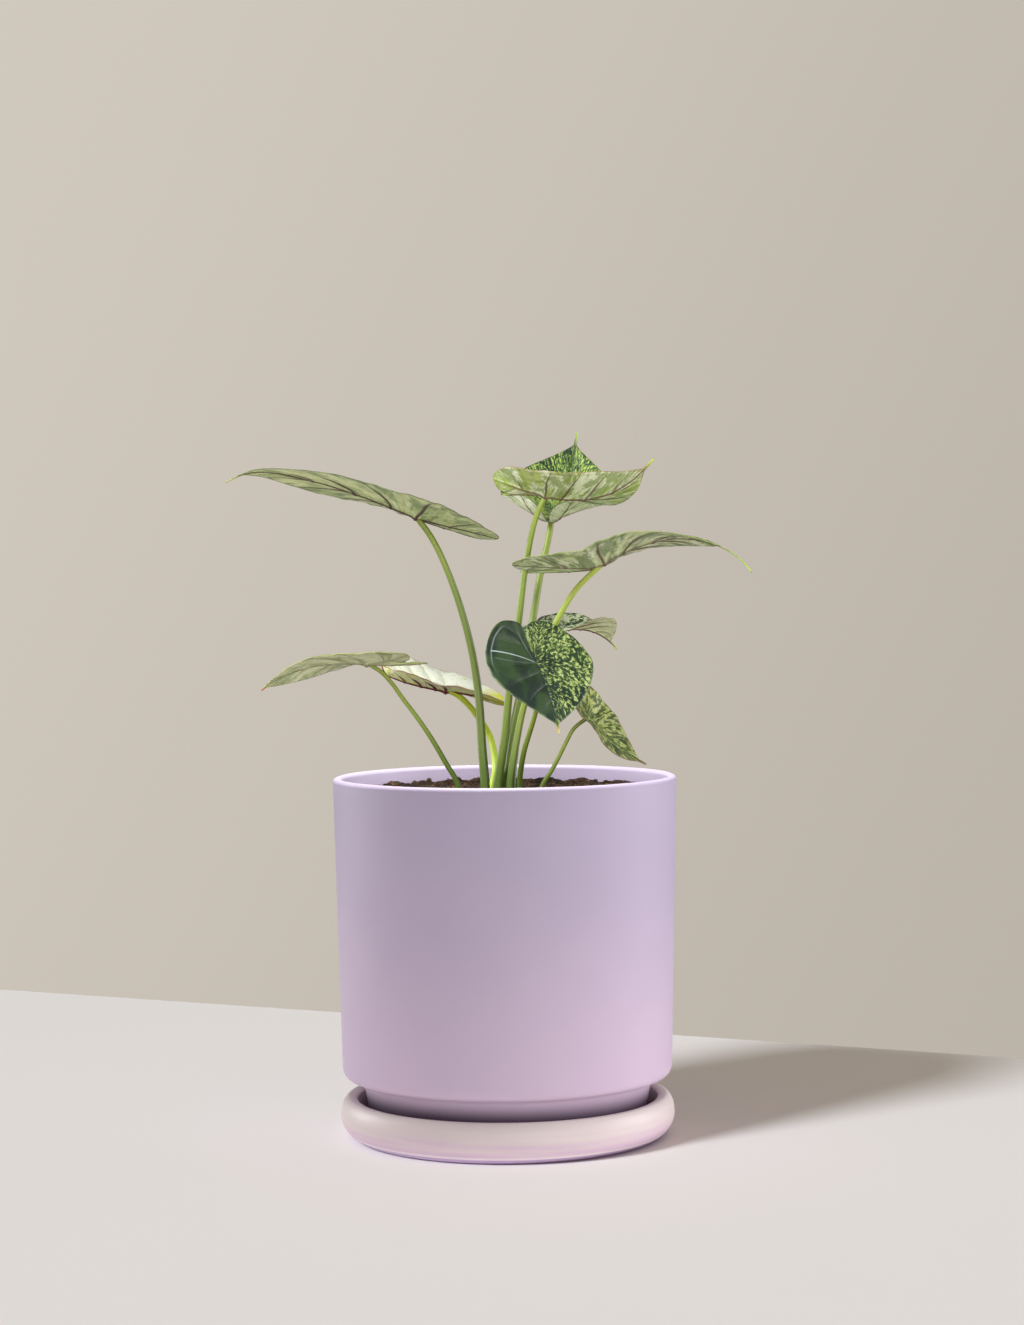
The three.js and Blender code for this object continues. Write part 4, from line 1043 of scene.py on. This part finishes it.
def makeTable():
    t = tableSize
    corners = [(t.left[0], t.front), (t.right[0], t.front), t.right, t.left]
    mesh = bpy.data.meshes.new("table")
    points = [(x, y, z) for z in (0, -t.thickness) for x, y in corners]
    sides = [[i, i + 4, (i + 1) % 4 + 4, (i + 1) % 4] for i in range(4)]
    mesh.from_pydata(points, [], [[0, 1, 2, 3], [7, 6, 5, 4], *sides])
    n = newMaterial("pale table")
    clouds = n.noise(n.place(), t.cloudScale)[0]
    paint = colour(t.paint)
    shade = n.mix(clouds, paint, n.mix(1, paint, t.cloudTint, "MULTIPLY"))
    inputs = {"Base Color": shade, "Roughness": t.roughness, "Specular IOR Level": t.specular}
    n.fill(n.tree.nodes["Principled BSDF"], inputs)
    mesh.materials.append(n.material)
    table = addObject("table", mesh)
    return table


def makeWorld():
    # the wall stands far behind with painted light, lighter at the left and falling off to the right; other
    # rays meet a soft white room
    w = wallLightAndRoom
    world = bpy.data.worlds.new("studio")
    scene.world = world
    world.use_nodes = True
    n = Nodes(world.node_tree)
    direction = n.axes(n.add("TexCoord")["Generated"])
    sideways = n.maths("SUBTRACT", direction[0], n.times(direction[2], w.slant))
    wall = n.mix(n.ramp(sideways, -w.reach, w.reach), colour(w.left), colour(w.right))
    seen = n.add("Background", {"Color": wall, "Strength": 1})[0]
    room = n.add("Background", {"Color": w.room, "Strength": w.roomStrength})[0]
    straight = n.add("LightPath")["Is Camera Ray"]
    mixed = n.add("MixShader", {0: straight, 1: room, 2: seen})[0]
    n.fill(n.tree.nodes["World Output"], {"Surface": mixed})


# where each soft light stands, what it lights, its size or spread, its power and its colour
lightSize = {
    "key": Values(
        place=(-1.3, -1.24, 1.26), lights=["table", "leaves"], spread=14, power=3.55, colour="edf4ff",
    ),
    "tableFill": Values(place=(0, -0.3, 2.2), lights=["table"], size=2.5, power=6.4, colour="ffc740"),
    "rightSoft": Values(place=(1.5, 0.13, 0.5), lights=["pot", "leaves"], size=0.9, power=11.8),
    "leftSoft": Values(place=(-1.36, 0.63, 0.45), lights=["pot", "leaves"], size=0.8, power=10),
    "frontSoft": Values(place=(0.8, -1.9, 0.4), lights=["pot", "leaves"], size=1.2, power=13.3),
    "leafFill": Values(place=(-0.2, -1.3, 0.05), lights=["leaves"], size=0.7, power=4, colour="fffaf0"),
    "insidePot": Values(place=(-0.035, -0.03, 0.6), lights=["pot"], shadows=["pot"], size=0.1, power=3.3),
}
lightTarget = Vector((0, 0, 0.15))


def makeLights(table):
    # what each light reaches is chosen, because the pot is lit more evenly than the table and the leaves
    pottery = [scene.objects["potTurned"], scene.objects["saucerTurned"]]
    leaves = [piece for piece in scene.objects if piece.type == "MESH" and piece not in [table, *pottery]]
    groups = {"table": [table], "pot": pottery, "leaves": leaves}
    for name, values in lightSize.items():
        data = bpy.data.lights.new(name, "AREA" if "size" in values else "SUN")
        data.energy = values.power
        data.color = colour(values.get("colour", "ffffff"))[:3]
        if "size" in values:
            data.shape = "DISK"
            data.size = values.size
        else:
            data.angle = radians(values.spread)
        light = addObject(name, data)
        light.location = values.place
        light.rotation_euler = (lightTarget - Vector(values.place)).to_track_quat("-Z", "Y").to_euler()
        lit = bpy.data.collections.new("lit by " + name)
        for group in values.lights:
            for piece in groups[group]:
                lit.objects.link(piece)
        light.light_linking.receiver_collection = lit
        if "shadows" in values:
            light.light_linking.blocker_collection = lit


# the focal length is in the image's pixels, the angles are radians
cameraSize = Values(place=(0.00507, -1.67, 0.3315), focal=2812, pitch=0.03, roll=0.01, sensor=36)


def makeCamera():
    c = cameraSize
    data = bpy.data.cameras.new("camera")
    data.sensor_width = c.sensor
    data.lens = data.sensor_width * c.focal / imageHeight
    camera = addObject("camera", data)
    turn = Matrix.Rotation(pi / 2 - c.pitch, 4, "X") @ Matrix.Rotation(-c.roll, 4, "Z")
    camera.matrix_world = Matrix.Translation(c.place) @ turn
    scene.camera = camera


makeWorld()
makeLights(makeTable())
makeCamera()
scene.view_settings.view_transform = "Standard"
print("studio set")
